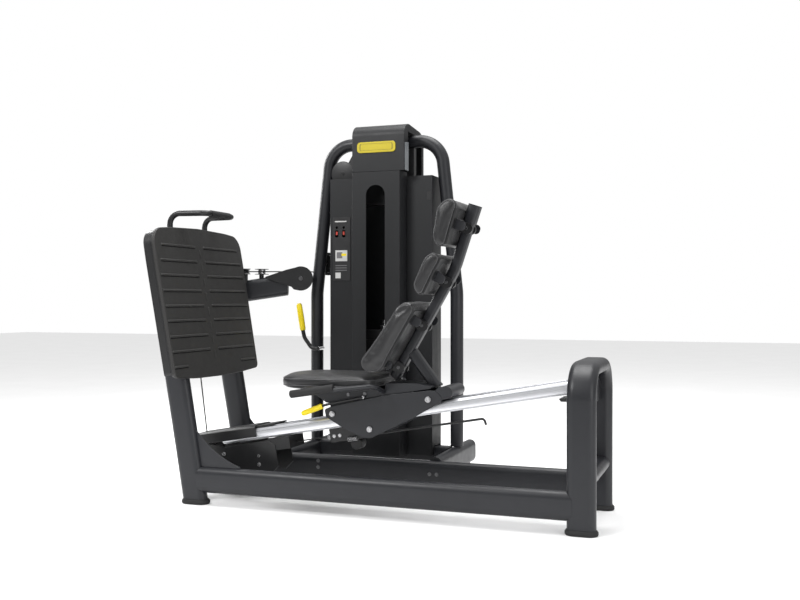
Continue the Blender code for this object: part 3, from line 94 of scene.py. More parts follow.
PRESS_STROKE = 0.330
WHEEL_R = 0.020          # upper carriage wheels, running in the rail's groove
LOW_WHEEL_R = 0.0192     # lower carriage wheels, running under the rail
PULLEY_R = 0.034         # cable line radius of the pulleys
CABLE_R = 0.0025
CABLE_T = -0.032         # cable line below the rail's bottom face


# -------------------------------------------------------------- materials
def new_mat(name):
    m = bpy.data.materials.new(name)
    m.use_nodes = True
    nt = m.node_tree
    p = nt.nodes["Principled BSDF"]
    return m, nt, p


def nd(nt, kind, **k):
    n = nt.nodes.new(kind)
    for a, v in k.items():
        setattr(n, a, v)
    return n


def coords(nt, scale):
    tc = nd(nt, "ShaderNodeTexCoord")
    mp = nd(nt, "ShaderNodeMapping")
    mp.inputs["Scale"].default_value = scale
    nt.links.new(tc.outputs["Object"], mp.inputs["Vector"])
    return mp.outputs["Vector"]


def noise_tex(nt, vec, scale, detail=4, rough=0.55):
    n = nd(nt, "ShaderNodeTexNoise")
    n.inputs["Scale"].default_value = scale
    n.inputs["Detail"].default_value = detail
    n.inputs["Roughness"].default_value = rough
    nt.links.new(vec, n.inputs["Vector"])
    return n.outputs["Fac"]


def ramp(nt, fac, stops):
    r = nd(nt, "ShaderNodeValToRGB")
    e = r.color_ramp.elements
    e[0].position, e[0].color = stops[0][0], stops[0][1]
    e[1].position, e[1].color = stops[-1][0], stops[-1][1]
    for pos, col in stops[1:-1]:
        x = e.new(pos)
        x.color = col
    nt.links.new(fac, r.inputs["Fac"])
    return r.outputs["Color"]


def grey(v):
    return (v, v, v, 1)


def bump(nt, p, fac, strength, dist):
    b = nd(nt, "ShaderNodeBump")
    b.inputs["Strength"].default_value = strength
    b.inputs["Distance"].default_value = dist
    nt.links.new(fac, b.inputs["Height"])
    nt.links.new(b.outputs["Normal"], p.inputs["Normal"])
    return b


def paint(name, base, rough, grain_scale=900, grain=0.10, metal=0.0, coat=0.0, vary=0.10, edge=0.35, spec=0.42):
    """Powder coat: fine orange-peel bump, slight tone variation, a lighter worn edge."""
    m, nt, p = new_mat(name)
    vec = coords(nt, (1, 1, 1))
    big = noise_tex(nt, vec, 9, 5, 0.6)
    c = ramp(nt, big, [(0.3, tuple(x * (1 - vary) for x in base) + (1,)), (0.7, tuple(x * (1 + vary) for x in base) + (1,))])
    geo = nd(nt, "ShaderNodeNewGeometry")
    er = ramp(nt, geo.outputs["Pointiness"], [(0.505, grey(0)), (0.56, grey(1))])
    em = nd(nt, "ShaderNodeMath", operation="MULTIPLY")
    nt.links.new(er, em.inputs[0])
    em.inputs[1].default_value = edge
    mix = nd(nt, "ShaderNodeMix", data_type="RGBA")
    nt.links.new(em.outputs[0], mix.inputs[0])
    nt.links.new(c, mix.inputs[6])
    mix.inputs[7].default_value = tuple(min(1, x * 2.2 + 0.01) for x in base) + (1,)
    nt.links.new(mix.outputs[2], p.inputs["Base Color"])
    fine = noise_tex(nt, vec, grain_scale, 2, 0.5)
    rr = ramp(nt, noise_tex(nt, vec, 30, 5, 0.6), [(0.3, grey(rough - 0.04)), (0.7, grey(rough + 0.05))])
    nt.links.new(rr, p.inputs["Roughness"])
    bump(nt, p, fine, grain, 0.0006)
    p.inputs["Metallic"].default_value = metal
    p.inputs["Coat Weight"].default_value = coat
    p.inputs["Coat Roughness"].default_value = 0.25
    p.inputs["Specular IOR Level"].default_value = spec
    return m


def leather(name, base, rough=0.42):
    """Leatherette: pebbled grain with fine creases between the pebbles."""
    m, nt, p = new_mat(name)
    vec = coords(nt, (1, 1, 1))
    v = nd(nt, "ShaderNodeTexVoronoi", feature="DISTANCE_TO_EDGE")
    v.inputs["Scale"].default_value = 620
    nt.links.new(vec, v.inputs["Vector"])
    vr = ramp(nt, v.outputs["Distance"], [(0.0, grey(0.0)), (0.18, grey(1.0))])
    big = noise_tex(nt, vec, 14, 6, 0.6)
    c = ramp(nt, big, [(0.3, tuple(x * 0.85 for x in base) + (1,)), (0.72, tuple(x * 1.18 for x in base) + (1,))])
    nt.links.new(c, p.inputs["Base Color"])
    rr = ramp(nt, noise_tex(nt, vec, 22, 5, 0.6), [(0.3, grey(rough - 0.05)), (0.7, grey(rough + 0.07))])
    nt.links.new(rr, p.inputs["Roughness"])
    b1 = nd(nt, "ShaderNodeBump")
    b1.inputs["Strength"].default_value = 0.22
    b1.inputs["Distance"].default_value = 0.0004
    nt.links.new(vr, b1.inputs["Height"])
    b2 = nd(nt, "ShaderNodeBump")
    b2.inputs["Strength"].default_value = 0.10
    b2.inputs["Distance"].default_value = 0.004
    nt.links.new(noise_tex(nt, vec, 26, 3, 0.5), b2.inputs["Height"])
    nt.links.new(b2.outputs["Normal"], b1.inputs["Normal"])
    nt.links.new(b1.outputs["Normal"], p.inputs["Normal"])
    p.inputs["Sheen Weight"].default_value = 0.08
    p.inputs["Specular IOR Level"].default_value = 0.5
    return m


def brushed(name, base, rough, stretch, metal=1.0, aniso=0.5):
    m, nt, p = new_mat(name)
    vec = coords(nt, stretch)
    n = noise_tex(nt, vec, 60, 5, 0.65)
    c = ramp(nt, n, [(0.25, tuple(x * 0.90 for x in base) + (1,)), (0.75, tuple(min(1, x * 1.06) for x in base) + (1,))])
    nt.links.new(c, p.inputs["Base Color"])
    rr = ramp(nt, n, [(0.3, grey(rough - 0.06)), (0.7, grey(rough + 0.08))])
    nt.links.new(rr, p.inputs["Roughness"])
    bump(nt, p, n, 0.06, 0.0004)
    p.inputs["Metallic"].default_value = metal
    p.inputs["Anisotropic"].default_value = aniso
    return m


M = {
    "frame_paint": paint("frame_paint_look", (0.0092, 0.0098, 0.0122), 0.40, coat=0.0, edge=0.25, spec=0.42),
    "black_paint": paint("black_paint_look", (0.0075, 0.0076, 0.0082), 0.36),
    "shroud": paint("shroud_look", (0.0056, 0.0060, 0.0070), 0.48, spec=0.34, grain_scale=420, grain=0.22, edge=0.15),
    "rubber": paint("rubber_look", (0.012, 0.012, 0.0125), 0.72, grain_scale=500, grain=0.3, edge=0.1),
    "mat_rubber": paint("mat_rubber_look", (0.0125, 0.0121, 0.0116), 0.58, grain_scale=700, grain=0.45, edge=0.5),
    "leatherette": leather("leatherette_look", (0.0088, 0.0088, 0.0098), 0.33),
    "piping": leather("piping_look", (0.045, 0.045, 0.047), 0.34),
    "aluminium": brushed("aluminium_look", (0.80, 0.81, 0.84), 0.36, (0.6, 30, 30)),
    "dark_steel": brushed("dark_steel_look", (0.16, 0.16, 0.165), 0.30, (8, 8, 8), aniso=0.2),
    "steel": brushed("steel_look", (0.50, 0.50, 0.51), 0.26, (8, 8, 8), aniso=0.2),
    "iron": paint("iron_look", (0.0060, 0.0060, 0.0066), 0.42, edge=0.5),
    "yellow": paint("yellow_look", (0.86, 0.66, 0.015), 0.34, grain_scale=500, grain=0.06, edge=0.1, vary=0.04),
    "plastic": paint("plastic_look", (0.0080, 0.0082, 0.0088), 0.42, grain_scale=600, grain=0.18, edge=0.15),
    # painted shade: a darker copy of the yellow for the badge, which faces the key light
    "badge_yellow": paint("badge_yellow_look", (0.46, 0.37, 0.012), 0.36, grain_scale=500, grain=0.05, edge=0.05, vary=0.04),
    "rib_shadow": paint("rib_shadow_look", (0.0028, 0.0028, 0.0028), 0.85, grain_scale=600, grain=0.1, edge=0.0, spec=0.15),
    "cable": paint("cable_look", (0.012, 0.012, 0.012), 0.35, grain=0.05, edge=0.0),
    "print": paint("print_look", (0.020, 0.020, 0.021), 0.35, grain=0.04, edge=0.0),
    "strip": paint("strip_look", (0.16, 0.17, 0.18), 0.40, grain=0.08, edge=0.0),
    "white_print": paint("white_print_look", (0.55, 0.55, 0.54), 0.42, grain=0.04, edge=0.0),
    "red_print": paint("red_print_look", (0.42, 0.045, 0.030), 0.42, grain=0.04, edge=0.0),
    "grey_print": paint("grey_print_look", (0.16, 0.16, 0.165), 0.42, grain=0.04, edge=0.0),
}
KIND_OF = {}


def make(name, bm, kind, smooth=True, pivot=None):
    bmesh.ops.recalc_face_normals(bm, faces=bm.faces[:])
    me = bpy.data.meshes.new(name + "_v")
    bm.to_mesh(me)
    bm.free()
    ob = bpy.data.objects.new(name + "_v", me)
    bpy.context.scene.collection.objects.link(ob)
    me.materials.append(M[kind])
    MADE[name] = ob
    KIND_OF[name] = kind
    return ob


class _Named(dict):
    pass


# --------------------------------------------------------------- outlines
def stadium(w, h, k):
    """Flat oval, w long, h thick, 16 segments per round end; k is not used."""
    k = 16
    r = h / 2
    d = w / 2 - r
    return ([(d + r * cos(-pi / 2 + pi * i / k), r * sin(-pi / 2 + pi * i / k)) for i in range(k + 1)]
            + [(-d + r * cos(pi / 2 + pi * i / k), r * sin(pi / 2 + pi * i / k)) for i in range(k + 1)])


def circle(r, n, a0=0.0):
    n = max(40, n)
    return [(r * cos(a0 + 2 * pi * i / n), r * sin(a0 + 2 * pi * i / n)) for i in range(n)]


def round_rect(w, h, r, k):
    k = max(5, k)
    pts = []
    for cx, cy, a in ((w / 2 - r, -h / 2 + r, -pi / 2), (w / 2 - r, h / 2 - r, 0),
                      (-w / 2 + r, h / 2 - r, pi / 2), (-w / 2 + r, -h / 2 + r, pi)):
        pts += [(cx + r * cos(a + pi / 2 * i / k), cy + r * sin(a + pi / 2 * i / k)) for i in range(k + 1)]
    return pts


def round_poly(pts, radii, k):
    """Polygon with each corner replaced by an arc of its own radius."""
    k = max(6, k * 3)
    n = len(pts)
    out = []
    for i in range(n):
        p, a, b = Vector(pts[i]), Vector(pts[i - 1]), Vector(pts[(i + 1) % n])
        r = radii[i] if isinstance(radii, (list, tuple)) else radii
        u, v = (a - p).normalized(), (b - p).normalized()
        ang = u.angle(v)
        if r <= 0 or ang > pi - 0.02:
            out.append((p.x, p.y))
            continue
        t = min(r / tan(ang / 2), 0.49 * (a - p).length, 0.49 * (b - p).length)
        r = t * tan(ang / 2)
        c = p + (u + v).normalized() * (r / sin(ang / 2))
        s, e = p + u * t - c, p + v * t - c
        sweep_a = s.angle(e)
        sgn = 1 if s.x * e.y - s.y * e.x > 0 else -1
        a0 = atan2(s.y, s.x)
        for j in range(k + 1):
            t2 = a0 + sgn * sweep_a * j / k
            out.append((c.x + r * cos(t2), c.y + r * sin(t2)))
    return out


# ----------------------------------------------------------------- solids
def loft(rings, closed=False, bm=None):
    """Closed body through rings of equal point counts, with end caps."""
    bm = bm or bmesh.new()
    vs = [[bm.verts.new(p) for p in ring] for ring in rings]
    n = len(rings[0])
    m = len(rings)
    for a in range(m if closed else m - 1):
        for i in range(n):
            bm.faces.new((vs[a][i], vs[a][(i + 1) % n], vs[(a + 1) % m][(i + 1) % n], vs[(a + 1) % m][i]))
    if not closed:
        bm.faces.new(list(reversed(vs[0])))
        bm.faces.new(vs[-1])
    return bm


AX = {"X": (Vector((0, 1, 0)), Vector((0, 0, 1)), Vector((1, 0, 0))),
      "Y": (Vector((1, 0, 0)), Vector((0, 0, 1)), Vector((0, 1, 0))),
      "Z": (Vector((1, 0, 0)), Vector((0, 1, 0)), Vector((0, 0, 1)))}


def prism(outline, axis, lo, hi, bm=None, origin=(0, 0, 0)):
    """Outline in the plane across axis, extruded from lo to hi along it."""
    u, v, w = AX[axis] if isinstance(axis, str) else axis
    o = Vector(origin)
    return loft([[o + u * x + v * y + w * d for x, y in outline] for d in (lo, hi)], bm=bm)


def box(lo, hi, bm=None):
    return prism([(lo[0], lo[1]), (hi[0], lo[1]), (hi[0], hi[1]), (lo[0], hi[1])], "Z", lo[2], hi[2], bm=bm)


def lathe(profile, axis, centre, n, bm=None):
    """Turned body: profile of (radius, height) along axis, closed on the axis."""
    u, v, w = AX[axis] if isinstance(axis, str) else axis
    c = Vector(centre)
    n = 48 if max(p[0] for p in profile) > 0.012 else 28
    rings = []
    for r, h in profile:
        rings.append([c + w * h + (u * cos(2 * pi * i / n) + v * sin(2 * pi * i / n)) * r for i in range(n)])
    return loft(rings, bm=bm)


def ringbody(profile, axis, centre, n, bm=None):
    """Turned ring that doesn't reach the axis: profile is a closed loop."""
    u, v, w = AX[axis] if isinstance(axis, str) else axis
    c = Vector(centre)
    n = 48 if max(p[0] for p in profile) > 0.012 else 28
    rings = []
    for i in range(n):
        d = u * cos(2 * pi * i / n) + v * sin(2 * pi * i / n)
        rings.append([c + w * h + d * r for r, h in profile])
    return loft(rings, closed=True, bm=bm)


def sweep(path, section, normal, bm=None, scales=None):
    """Section swept along a planar path; section y lies along the plane's normal.
    Each bend is mitred: the section is stretched in the bisecting plane."""
    nz = Vector(normal).normalized()
    P = [Vector(p) for p in path]
    rings = []
    for i, p in enumerate(P):
        d0 = (P[i] - P[i - 1]).normalized() if i > 0 else (P[1] - P[0]).normalized()
        d1 = (P[i + 1] - P[i]).normalized() if i < len(P) - 1 else d0
        t = (d0 + d1).normalized()
        side = t.cross(nz).normalized()
        k = 1 / max(0.3, t.dot(d1))
        s = scales[i] if scales else 1.0
        rings.append([p + side * (x * k * s) + nz * (y * s) for x, y in section])
    return loft(rings, bm=bm)


def arc(c, r, a0, a1, k):
    return [(c[0] + r * cos(a0 + (a1 - a0) * i / k), c[1] + r * sin(a0 + (a1 - a0) * i / k)) for i in range(k + 1)]


def bend_path(pts, radii, k):
    """Open 3D path with rounded corners."""
    k = k * 3
    P = [Vector(p) for p in pts]
    out = [P[0]]
    for i in range(1, len(P) - 1):
        r = radii[i - 1] if isinstance(radii, (list, tuple)) else radii
        u, v = (P[i - 1] - P[i]).normalized(), (P[i + 1] - P[i]).normalized()
        ang = u.angle(v)
        if ang > pi - 0.01 or r <= 0:
            out.append(P[i])
            continue
        t = min(r / tan(ang / 2), 0.49 * (P[i - 1] - P[i]).length, 0.49 * (P[i + 1] - P[i]).length)
        r = t * tan(ang / 2)
        c = P[i] + (u + v).normalized() * (r / sin(ang / 2))
        s, e = (P[i] + u * t) - c, (P[i] + v * t) - c
        ax = s.cross(e).normalized()
        tot = s.angle(e)
        for j in range(k + 1):
            out.append(c + Matrix.Rotation(tot * j / k, 3, ax) @ s)
    out.append(P[-1])
    return out


def tube3d(path, r, n, bm=None):
    """Round tube along any smooth 3D path, with the section carried along."""
    n = 28 if r > 0.004 else 14
    P = [Vector(p) for p in path]
    t = (P[1] - P[0]).normalized()
    a = Vector((0, 0, 1)) if abs(t.z) < 0.9 else Vector((1, 0, 0))
    u = (a - t * a.dot(t)).normalized()
    rings = []
    for i, p in enumerate(P):
        d0 = (P[i] - P[i - 1]).normalized() if i > 0 else (P[1] - P[0]).normalized()
        d1 = (P[i + 1] - P[i]).normalized() if i < len(P) - 1 else d0
        t = (d0 + d1).normalized()
        u = (u - t * u.dot(t)).normalized()
        v = t.cross(u)
        rings.append([p + (u * cos(2 * pi * j / n) + v * sin(2 * pi * j / n)) * r for j in range(n)])
    return loft(rings, bm=bm)


def cut(ob, cutter_bm, name):
    """Boolean difference with a hidden cutter."""
    bmesh.ops.recalc_face_normals(cutter_bm, faces=cutter_bm.faces[:])
    me = bpy.data.meshes.new(name)
    cutter_bm.to_mesh(me)
    cutter_bm.free()
    c = bpy.data.objects.new(name, me)
    bpy.context.scene.collection.objects.link(c)
    c.hide_render = True
    c.display_type = "WIRE"
    m = ob.modifiers.new(name, "BOOLEAN")
    m.operation = "DIFFERENCE"
    m.solver = "EXACT"
    m.object = c
    return c


def rail_pt(s, t, y=Y_MID):
    """Point s along the rail and t above its bottom face."""
    return Vector((RAIL_X0 + s * cos(RAIL_ANG) - t * sin(RAIL_ANG), y,
                   RAIL_Z0 + s * sin(RAIL_ANG) + t * cos(RAIL_ANG)))


RU = Vector((cos(RAIL_ANG), 0, sin(RAIL_ANG)))       # along the rail
RW = Vector((-sin(RAIL_ANG), 0, cos(RAIL_ANG)))      # square to the rail
RAIL_AX = (Vector((0, 1, 0)), RW, RU)                # outline (y, t), extruded along s
LEAN_V = Vector((-sin(LEAN), 0, cos(LEAN)))          # up along the uprights
LEAN_U = Vector((cos(LEAN), 0, sin(LEAN)))           # square to them, towards the user


def up_pt(z, y):
    return Vector((FRONT_X0 - tan(LEAN) * z, y, z))


def upright(y, grow, z0, z1, k):
    """Leaning flat-oval post with level cut ends."""
    sec = stadium(TUBE_W + 2 * grow, TUBE_T + 2 * grow, k)
    rings = []
    for z in (z0, z1):
        c = up_pt(z, y)
        rings.append([c + Vector((x / cos(LEAN), v, 0)) for x, v in sec])
    return loft(rings)


# ------------------------------------------------------------- main frame
K = 5
for tag, y in (("near", Y_NEAR), ("far", Y_FAR)):
    make("front_upright_" + tag, upright(y, 0, 0.0164, UP_TOP, K), "frame_paint")
    b = prism([(v, x) for x, v in stadium(TUBE_W, TUBE_T, K)], "X", -1.44, -0.018, origin=(0, y, BASE_Z))
    t = make("base_tube_" + tag, b, "frame_paint")
    cut(t, upright(y, GAP, -0.02, 0.30, 10), "cope_front_" + tag)
    cut(t, prism(stadium(TUBE_W + 2 * GAP, TUBE_T + 2 * GAP, 10), "Z", -0.02, 0.30, origin=(0, y, 0)), "cope_rear_" + tag)


def arch_path(k):
    y0, y1, z0 = Y_NEAR, Y_FAR, 0.0164
    return bend_path([(0, y0, z0), (0, y0, ARCH_TOP), (0, y1, ARCH_TOP), (0, y1, z0)], ARCH_R, k)


make("rear_arch", sweep(arch_path(6), [(v, x) for x, v in stadium(TUBE_W, TUBE_T, K)], (1, 0, 0)), "frame_paint")
make("rear_crossbar", prism([(x, v) for x, v in stadium(0.080, 0.045, 4)],
                            (Vector((1, 0, 0)), Vector((0, 0, 1)), Vector((0, 1, 0))),
                            Y_NEAR + TUBE_T / 2 + GAP, Y_FAR - TUBE_T / 2 - GAP, origin=(0, 0, 0.170)), "frame_paint")
# cross member that carries the rail's rear end
beam = make("rail_end_beam", prism(round_rect(0.030, 0.084, 0.006, 2), "Y", Y_NEAR + TUBE_T / 2 + GAP,
                                   Y_FAR - TUBE_T / 2 - GAP, origin=(-0.008, 0, 0.4365)), "frame_paint")
cut(beam, sweep(arch_path(6), [(v, x) for x, v in stadium(TUBE_W + 2 * GAP, TUBE_T + 2 * GAP, K)], (1, 0, 0)), "cope_beam")
b = prism([(-0.100, 0.4175), (-0.0220, 0.4260), (-0.0220, 0.4080), (-0.094, 0.4080)],
          "Y", Y_MID - 0.05, Y_MID + 0.05)
make("rail_end_bracket", b, "black_paint", smooth=False)

# rubber feet under the four posts
for tag, cx, y, w in (("rear_near", 0, Y_NEAR, 1), ("rear_far", 0, Y_FAR, 1), ("front_near", FRONT_X0 - 0.0015, Y_NEAR, 1 / cos(LEAN)),
                      ("front_far", FRONT_X0 - 0.0015, Y_FAR, 1 / cos(LEAN))):
    rings = []
    for g, z in ((0.004, 0.0), (0.0065, 0.004), (0.0065, 0.012), (0.002, 0.0180)):
        rings.append([Vector((cx + x * w, y + v, z)) for x, v in stadium(TUBE_W + 2 * g, TUBE_T + 2 * g, 5)])
    make("foot_" + tag, loft(rings), "rubber")

# corner gussets between upright and base tube, with a concave free edge
def gusset_outline(k):
    k = 24
    zb = BASE_Z + TUBE_W / 2 + GAP
    def edge(z):
        return FRONT_X0 - tan(LEAN) * z + TUBE_W / 2 / cos(LEAN) - 0.0015
    pts = [(edge(zb), zb), (-1.235, zb), (-1.235, zb + 0.006)]
    p0, p1, p2 = Vector((-1.235, zb + 0.006)), Vector((-1.345, 0.178)), Vector((edge(0.272), 0.272))
    for i in range(1, k + 1):
        u = i / k
        q = p0 * (1 - u) ** 2 + p1 * 2 * u * (1 - u) + p2 * u ** 2
        pts.append((q.x, q.y))
    return pts


for tag, y in (("near", Y_NEAR), ("far", Y_FAR)):
    make("front_gusset_" + tag, prism(gusset_outline(8), "Y", y - 0.003, y + 0.003), "frame_paint", smooth=False)

# cross tubes between the two frame sides, at the front
make("front_crossbar", prism(round_rect(0.060, 0.070, 0.012, 2), "Y", Y_NEAR + TUBE_T / 2 + GAP,
                             Y_FAR - TUBE_T / 2 - GAP, origin=(-1.405, 0, 0.0895)), "frame_paint")

# ------------------------------------------------------------------- rail
def rail_section():
    h, w = RAIL_H, RAIL_W / 2
    side = [(-w + 0.006, 0.0), (w - 0.006, 0.0), (w, 0.007), (w, h - 0.014), (w - 0.004, h - 0.004), (w - 0.012, h)]
    groove = [(0.030, h), (0.030, h - 0.010), (-0.030, h - 0.010), (-0.030, h)]
    other = [(-w + 0.012, h), (-w + 0.004, h - 0.004), (-w, h - 0.014), (-w, 0.007)]
    return side + groove + other


make("rail", prism(rail_section(), RAIL_AX, RAIL_S0, RAIL_S1, origin=rail_pt(0, 0)), "aluminium")

# tread cover: a saddle over the front end of the rail
def cover_section(o, i, top, ztop):
    return [(-o, 0.0), (-i, 0.0), (-i, ztop), (i, ztop), (i, 0.0), (o, 0.0), (o, top - 0.008), (o - 0.010, top), (-o + 0.010, top), (-o, top - 0.008)]


COVER_S0, COVER_S1 = -0.420, -0.142
b = prism([(y, t + 0.011) for y, t in cover_section(0.0680, 0.0620, 0.0440, RAIL_H - 0.011 + 0.0008)], RAIL_AX, COVER_S0 + 0.004, COVER_S1,
          origin=rail_pt(0, 0))
cov = make("rail_front_cover", b, "plastic")
RISE_X = -1.489           # rising cable, at the height of the low riser pulley
cut(cov, lathe([(0.007, 0.20), (0.007, 0.28)], "Z", (-1.4960, Y_MID, 0), 10), "cable_hole")
make("cover_tongue", prism(round_rect(0.110, 0.0060, 0.002, 1), RAIL_AX, COVER_S1 - 0.004, -0.066,
                           origin=rail_pt(0, RAIL_H + 0.0008 + 0.003)), "plastic")

# ------------------------------------------- front pulley and its housing
FP = rail_pt(-0.145, CABLE_T - 0.030)      # front pulley axle
LP = Vector((-1.4550, Y_MID, 0.1900))      # low riser pulley axle
HOUSE_Y = 0.060                           # half distance of the housing plates


def house_outline():
    return [(-1.478, 0.170), (-1.450, 0.1400), (-1.370, 0.1280), (-1.360, 0.098), (-1.180, 0.098), (-1.150, 0.1300), (-1.165, 0.2100),
            (-1.200, 0.2230), (-1.375, 0.1880), (-1.430, 0.1960), (-1.458, 0.1960), (-1.478, 0.1850)]


for tag, y0 in (("near", Y_MID - HOUSE_Y - 0.004), ("far", Y_MID + HOUSE_Y)):
    make("housing_plate_" + tag, prism(house_outline(), "Y", y0, y0 + 0.004), "black_paint", smooth=False)

for tag, p in (("front", FP), ("riser", LP)):
    make("housing_axle_" + tag, lathe([(0.0055, Y_MID - 0.0665), (0.0055, Y_MID + 0.0665)], "Y", (p.x, 0, p.z), 12), "steel")


def pulley(centre, r, half, bore, axis, n):
    """Grooved wheel whose cable line has radius r."""
    prof = [(bore, -half), (r + 0.004, -half), (r + 0.004, -half + 0.002), (r - 0.0045, -0.0012), (r - 0.0045, 0.0012),
            (r + 0.004, half - 0.002), (r + 0.004, half), (bore, half)]
    return ringbody(prof, axis, centre, n)


make("front_pulley", pulley(FP, 0.030, 0.010, 0.0058, "Y", 22), "plastic", pivot=FP)
make("riser_pulley", pulley(LP, 0.034, 0.010, 0.0058, "Y", 22), "plastic", pivot=LP)
# cable guide block under the rail
b = prism([(-0.046, -0.050), (0.046, -0.050), (0.046, -0.0050), (-0.046, -0.0050)], (RU, RW, Vector((0, 1, 0))), -HOUSE_Y - 0.001, HOUSE_Y + 0.001,
          origin=rail_pt(-0.056, 0, Y_MID))
ob = make("cable_guide_block", b, "plastic", smooth=False)
cut(ob, lathe([(0.0040, -0.10), (0.0040, 0.10)], (Vector((0, 1, 0)), RW, RU), rail_pt(-0.04, CABLE_T), 10), "guide_hole")

# ----------------------------------------------------------- ties to tower
TIE_Z = 0.104
TIE_DX = 0.3145
for tag, sx in (("left", -1), ("right", 1)):
    x = TOWER_X + sx * TIE_DX
    b = prism([(v, u) for u, v in stadium(TUBE_W, TUBE_T, K)], "Y", Y_FAR + 0.0036, 0.900, origin=(x, 0, TIE_Z))
    t = make("tower_tie_" + tag, b, "frame_paint")
    cut(t, prism([(v, u) for u, v in stadium(TUBE_W + 2 * GAP, TUBE_T + 2 * GAP, 10)], "X", x - 0.1, x + 0.1,
                 origin=(0, Y_FAR, BASE_Z)), "cope_tie_" + tag)

# end caps and feet of the ties
for tag, sx in (("left", -1), ("right", 1)):
    x = TOWER_X + sx * TIE_DX
    for place, y in (("rear", 0.860), ("front", 0.640)):
        make("tie_foot_%s_%s" % (place, tag), lathe([(0.026, 0.0), (0.030, 0.005), (0.030, 0.020), (0.012, 0.026), (0.012, TIE_Z - TUBE_W / 2 + 0.006)],
                                                    "Z", (x, y, 0), 16), "rubber")
    make("tie_cap_" + tag, prism([(v, u) for u, v in stadium(TUBE_W - 0.002, TUBE_T - 0.002, 4)], "Y", 0.8985, 0.906, origin=(x, 0, TIE_Z)), "plastic")

# ------------------------------------------------------------ tower hoop
def hoop_path(k):
    zb = TIE_Z + TUBE_W / 2 + GAP
    L, R = TOWER_X - TIE_DX, TOWER_X + TIE_DX
    zt = 1.412
    return bend_path([(L, TOWER_Y, zb), (L, TOWER_Y, 0.780), (L + 0.0685, TOWER_Y, zt), (R - 0.0685, TOWER_Y, zt),
                      (R, TOWER_Y, 0.780), (R, TOWER_Y, zb)], [0.30, 0.105, 0.105, 0.30], k)


make("tower_hoop", sweep(hoop_path(7), circle(TOWER_R, 14), (0, 1, 0)), "frame_paint")
make("tower_crossbar", prism(round_rect(0.050, 0.060, 0.006, 1), "X", TOWER_X - TIE_DX + TUBE_T / 2 + GAP,
                             TOWER_X + TIE_DX - TUBE_T / 2 - GAP, origin=(0, STACK_Y, 0.118)), "frame_paint")
ZC = 1.412 - TOWER_R - GAP
YOKE_Z = 1.150
POST_DX = 0.118
# yoke: a bridge on two short posts under the hoop, which holds the guide rods' tops
bm = bmesh.new()
o = [(-0.150, YOKE_Z), (0.150, YOKE_Z), (0.150, YOKE_Z + 0.012), (POST_DX + 0.015, YOKE_Z + 0.012), (POST_DX + 0.015, ZC),
     (POST_DX - 0.015, ZC), (POST_DX - 0.015, YOKE_Z + 0.012), (-POST_DX + 0.015, YOKE_Z + 0.012), (-POST_DX + 0.015, ZC),
     (-POST_DX - 0.015, ZC), (-POST_DX - 0.015, YOKE_Z + 0.012), (-0.150, YOKE_Z + 0.012)]
prism(o, "Y", STACK_Y - 0.0150, STACK_Y + 0.0150, bm=bm, origin=(TOWER_X, 0, 0))
yoke = make("stack_yoke", bm, "black_paint", smooth=False)
bm = bmesh.new()
lathe([(0.0080, YOKE_Z - 0.02), (0.0080, YOKE_Z + 0.03)], "Z", (TOWER_X, STACK_Y, 0), 12, bm=bm)
lathe([(0.0070, TOWER_X - 0.16), (0.0070, TOWER_X - 0.09)], "X", (0, STACK_Y, 1.332), 10, bm=bm)
cut(yoke, bm, "yoke_hole")

# ----------------------------------------------------------- weight stack
bm = bmesh.new()
for sx in (-1, 1):
    make("guide_rod_%d" % (sx + 1), lathe([(0.022, 0.148 + GAP), (0.022, 0.162), (0.010, 0.162), (0.010, YOKE_Z + 0.006)], "Z",
                                       (TOWER_X + sx * ROD_DX, STACK_Y, 0), 10), "steel")


def plates(z0, n, notch=False):
    """Pile of plates with a fine groove at each joint between two of them."""
    a, g, h = STACK_W / 2, 0.0020, 0.0005
    right = []
    for i in range(n):
        z = z0 + i * PLATE_T
        right += [(a, z + (h if i else 0)), (a, z + PLATE_T - (h if i < n - 1 else GAP))]
        if i < n - 1:
            right += [(a - g, z + PLATE_T - h), (a - g, z + PLATE_T + h)]
    left = [(-x, z) for x, z in reversed(right)]
    foot = [(-0.0065, z0), (-0.0065, z0 + 0.013), (0.0065, z0 + 0.013), (0.0065, z0)] if notch else []
    return prism(foot + right + left, "Y", STACK_Y - STACK_D / 2, STACK_Y + STACK_D / 2, origin=(TOWER_X, 0, 0))


def stack_cutter(z0, z1):
    bm = bmesh.new()
    for dx, r in ((-ROD_DX, 0.0115), (0, 0.0140), (ROD_DX, 0.0115)):
        lathe([(r, z0 - 0.01), (r, z1 + 0.01)], "Z", (TOWER_X + dx, STACK_Y, 0), 10, bm=bm)
    return bm


Z1 = STACK_Z0 + N_STATIC * PLATE_T
Z2 = Z1 + N_LIFT * PLATE_T
cut(make("weight_plates", plates(STACK_Z0, N_STATIC), "iron"), stack_cutter(STACK_Z0, Z1), "plate_holes")
cut(make("lifted_plates", plates(Z1, N_LIFT, notch=True), "iron"), stack_cutter(Z1, Z2), "lifted_holes")
o = round_poly([(-0.15, -0.045), (0.15, -0.045), (0.15, 0.045), (-0.15, 0.045)], 0.006, 1)
hp = make("head_plate", prism(o, "Z", Z2, Z2 + 0.040, origin=(TOWER_X, STACK_Y, 0)), "iron")
cut(hp, stack_cutter(Z2, Z2 + 0.040), "head_holes")
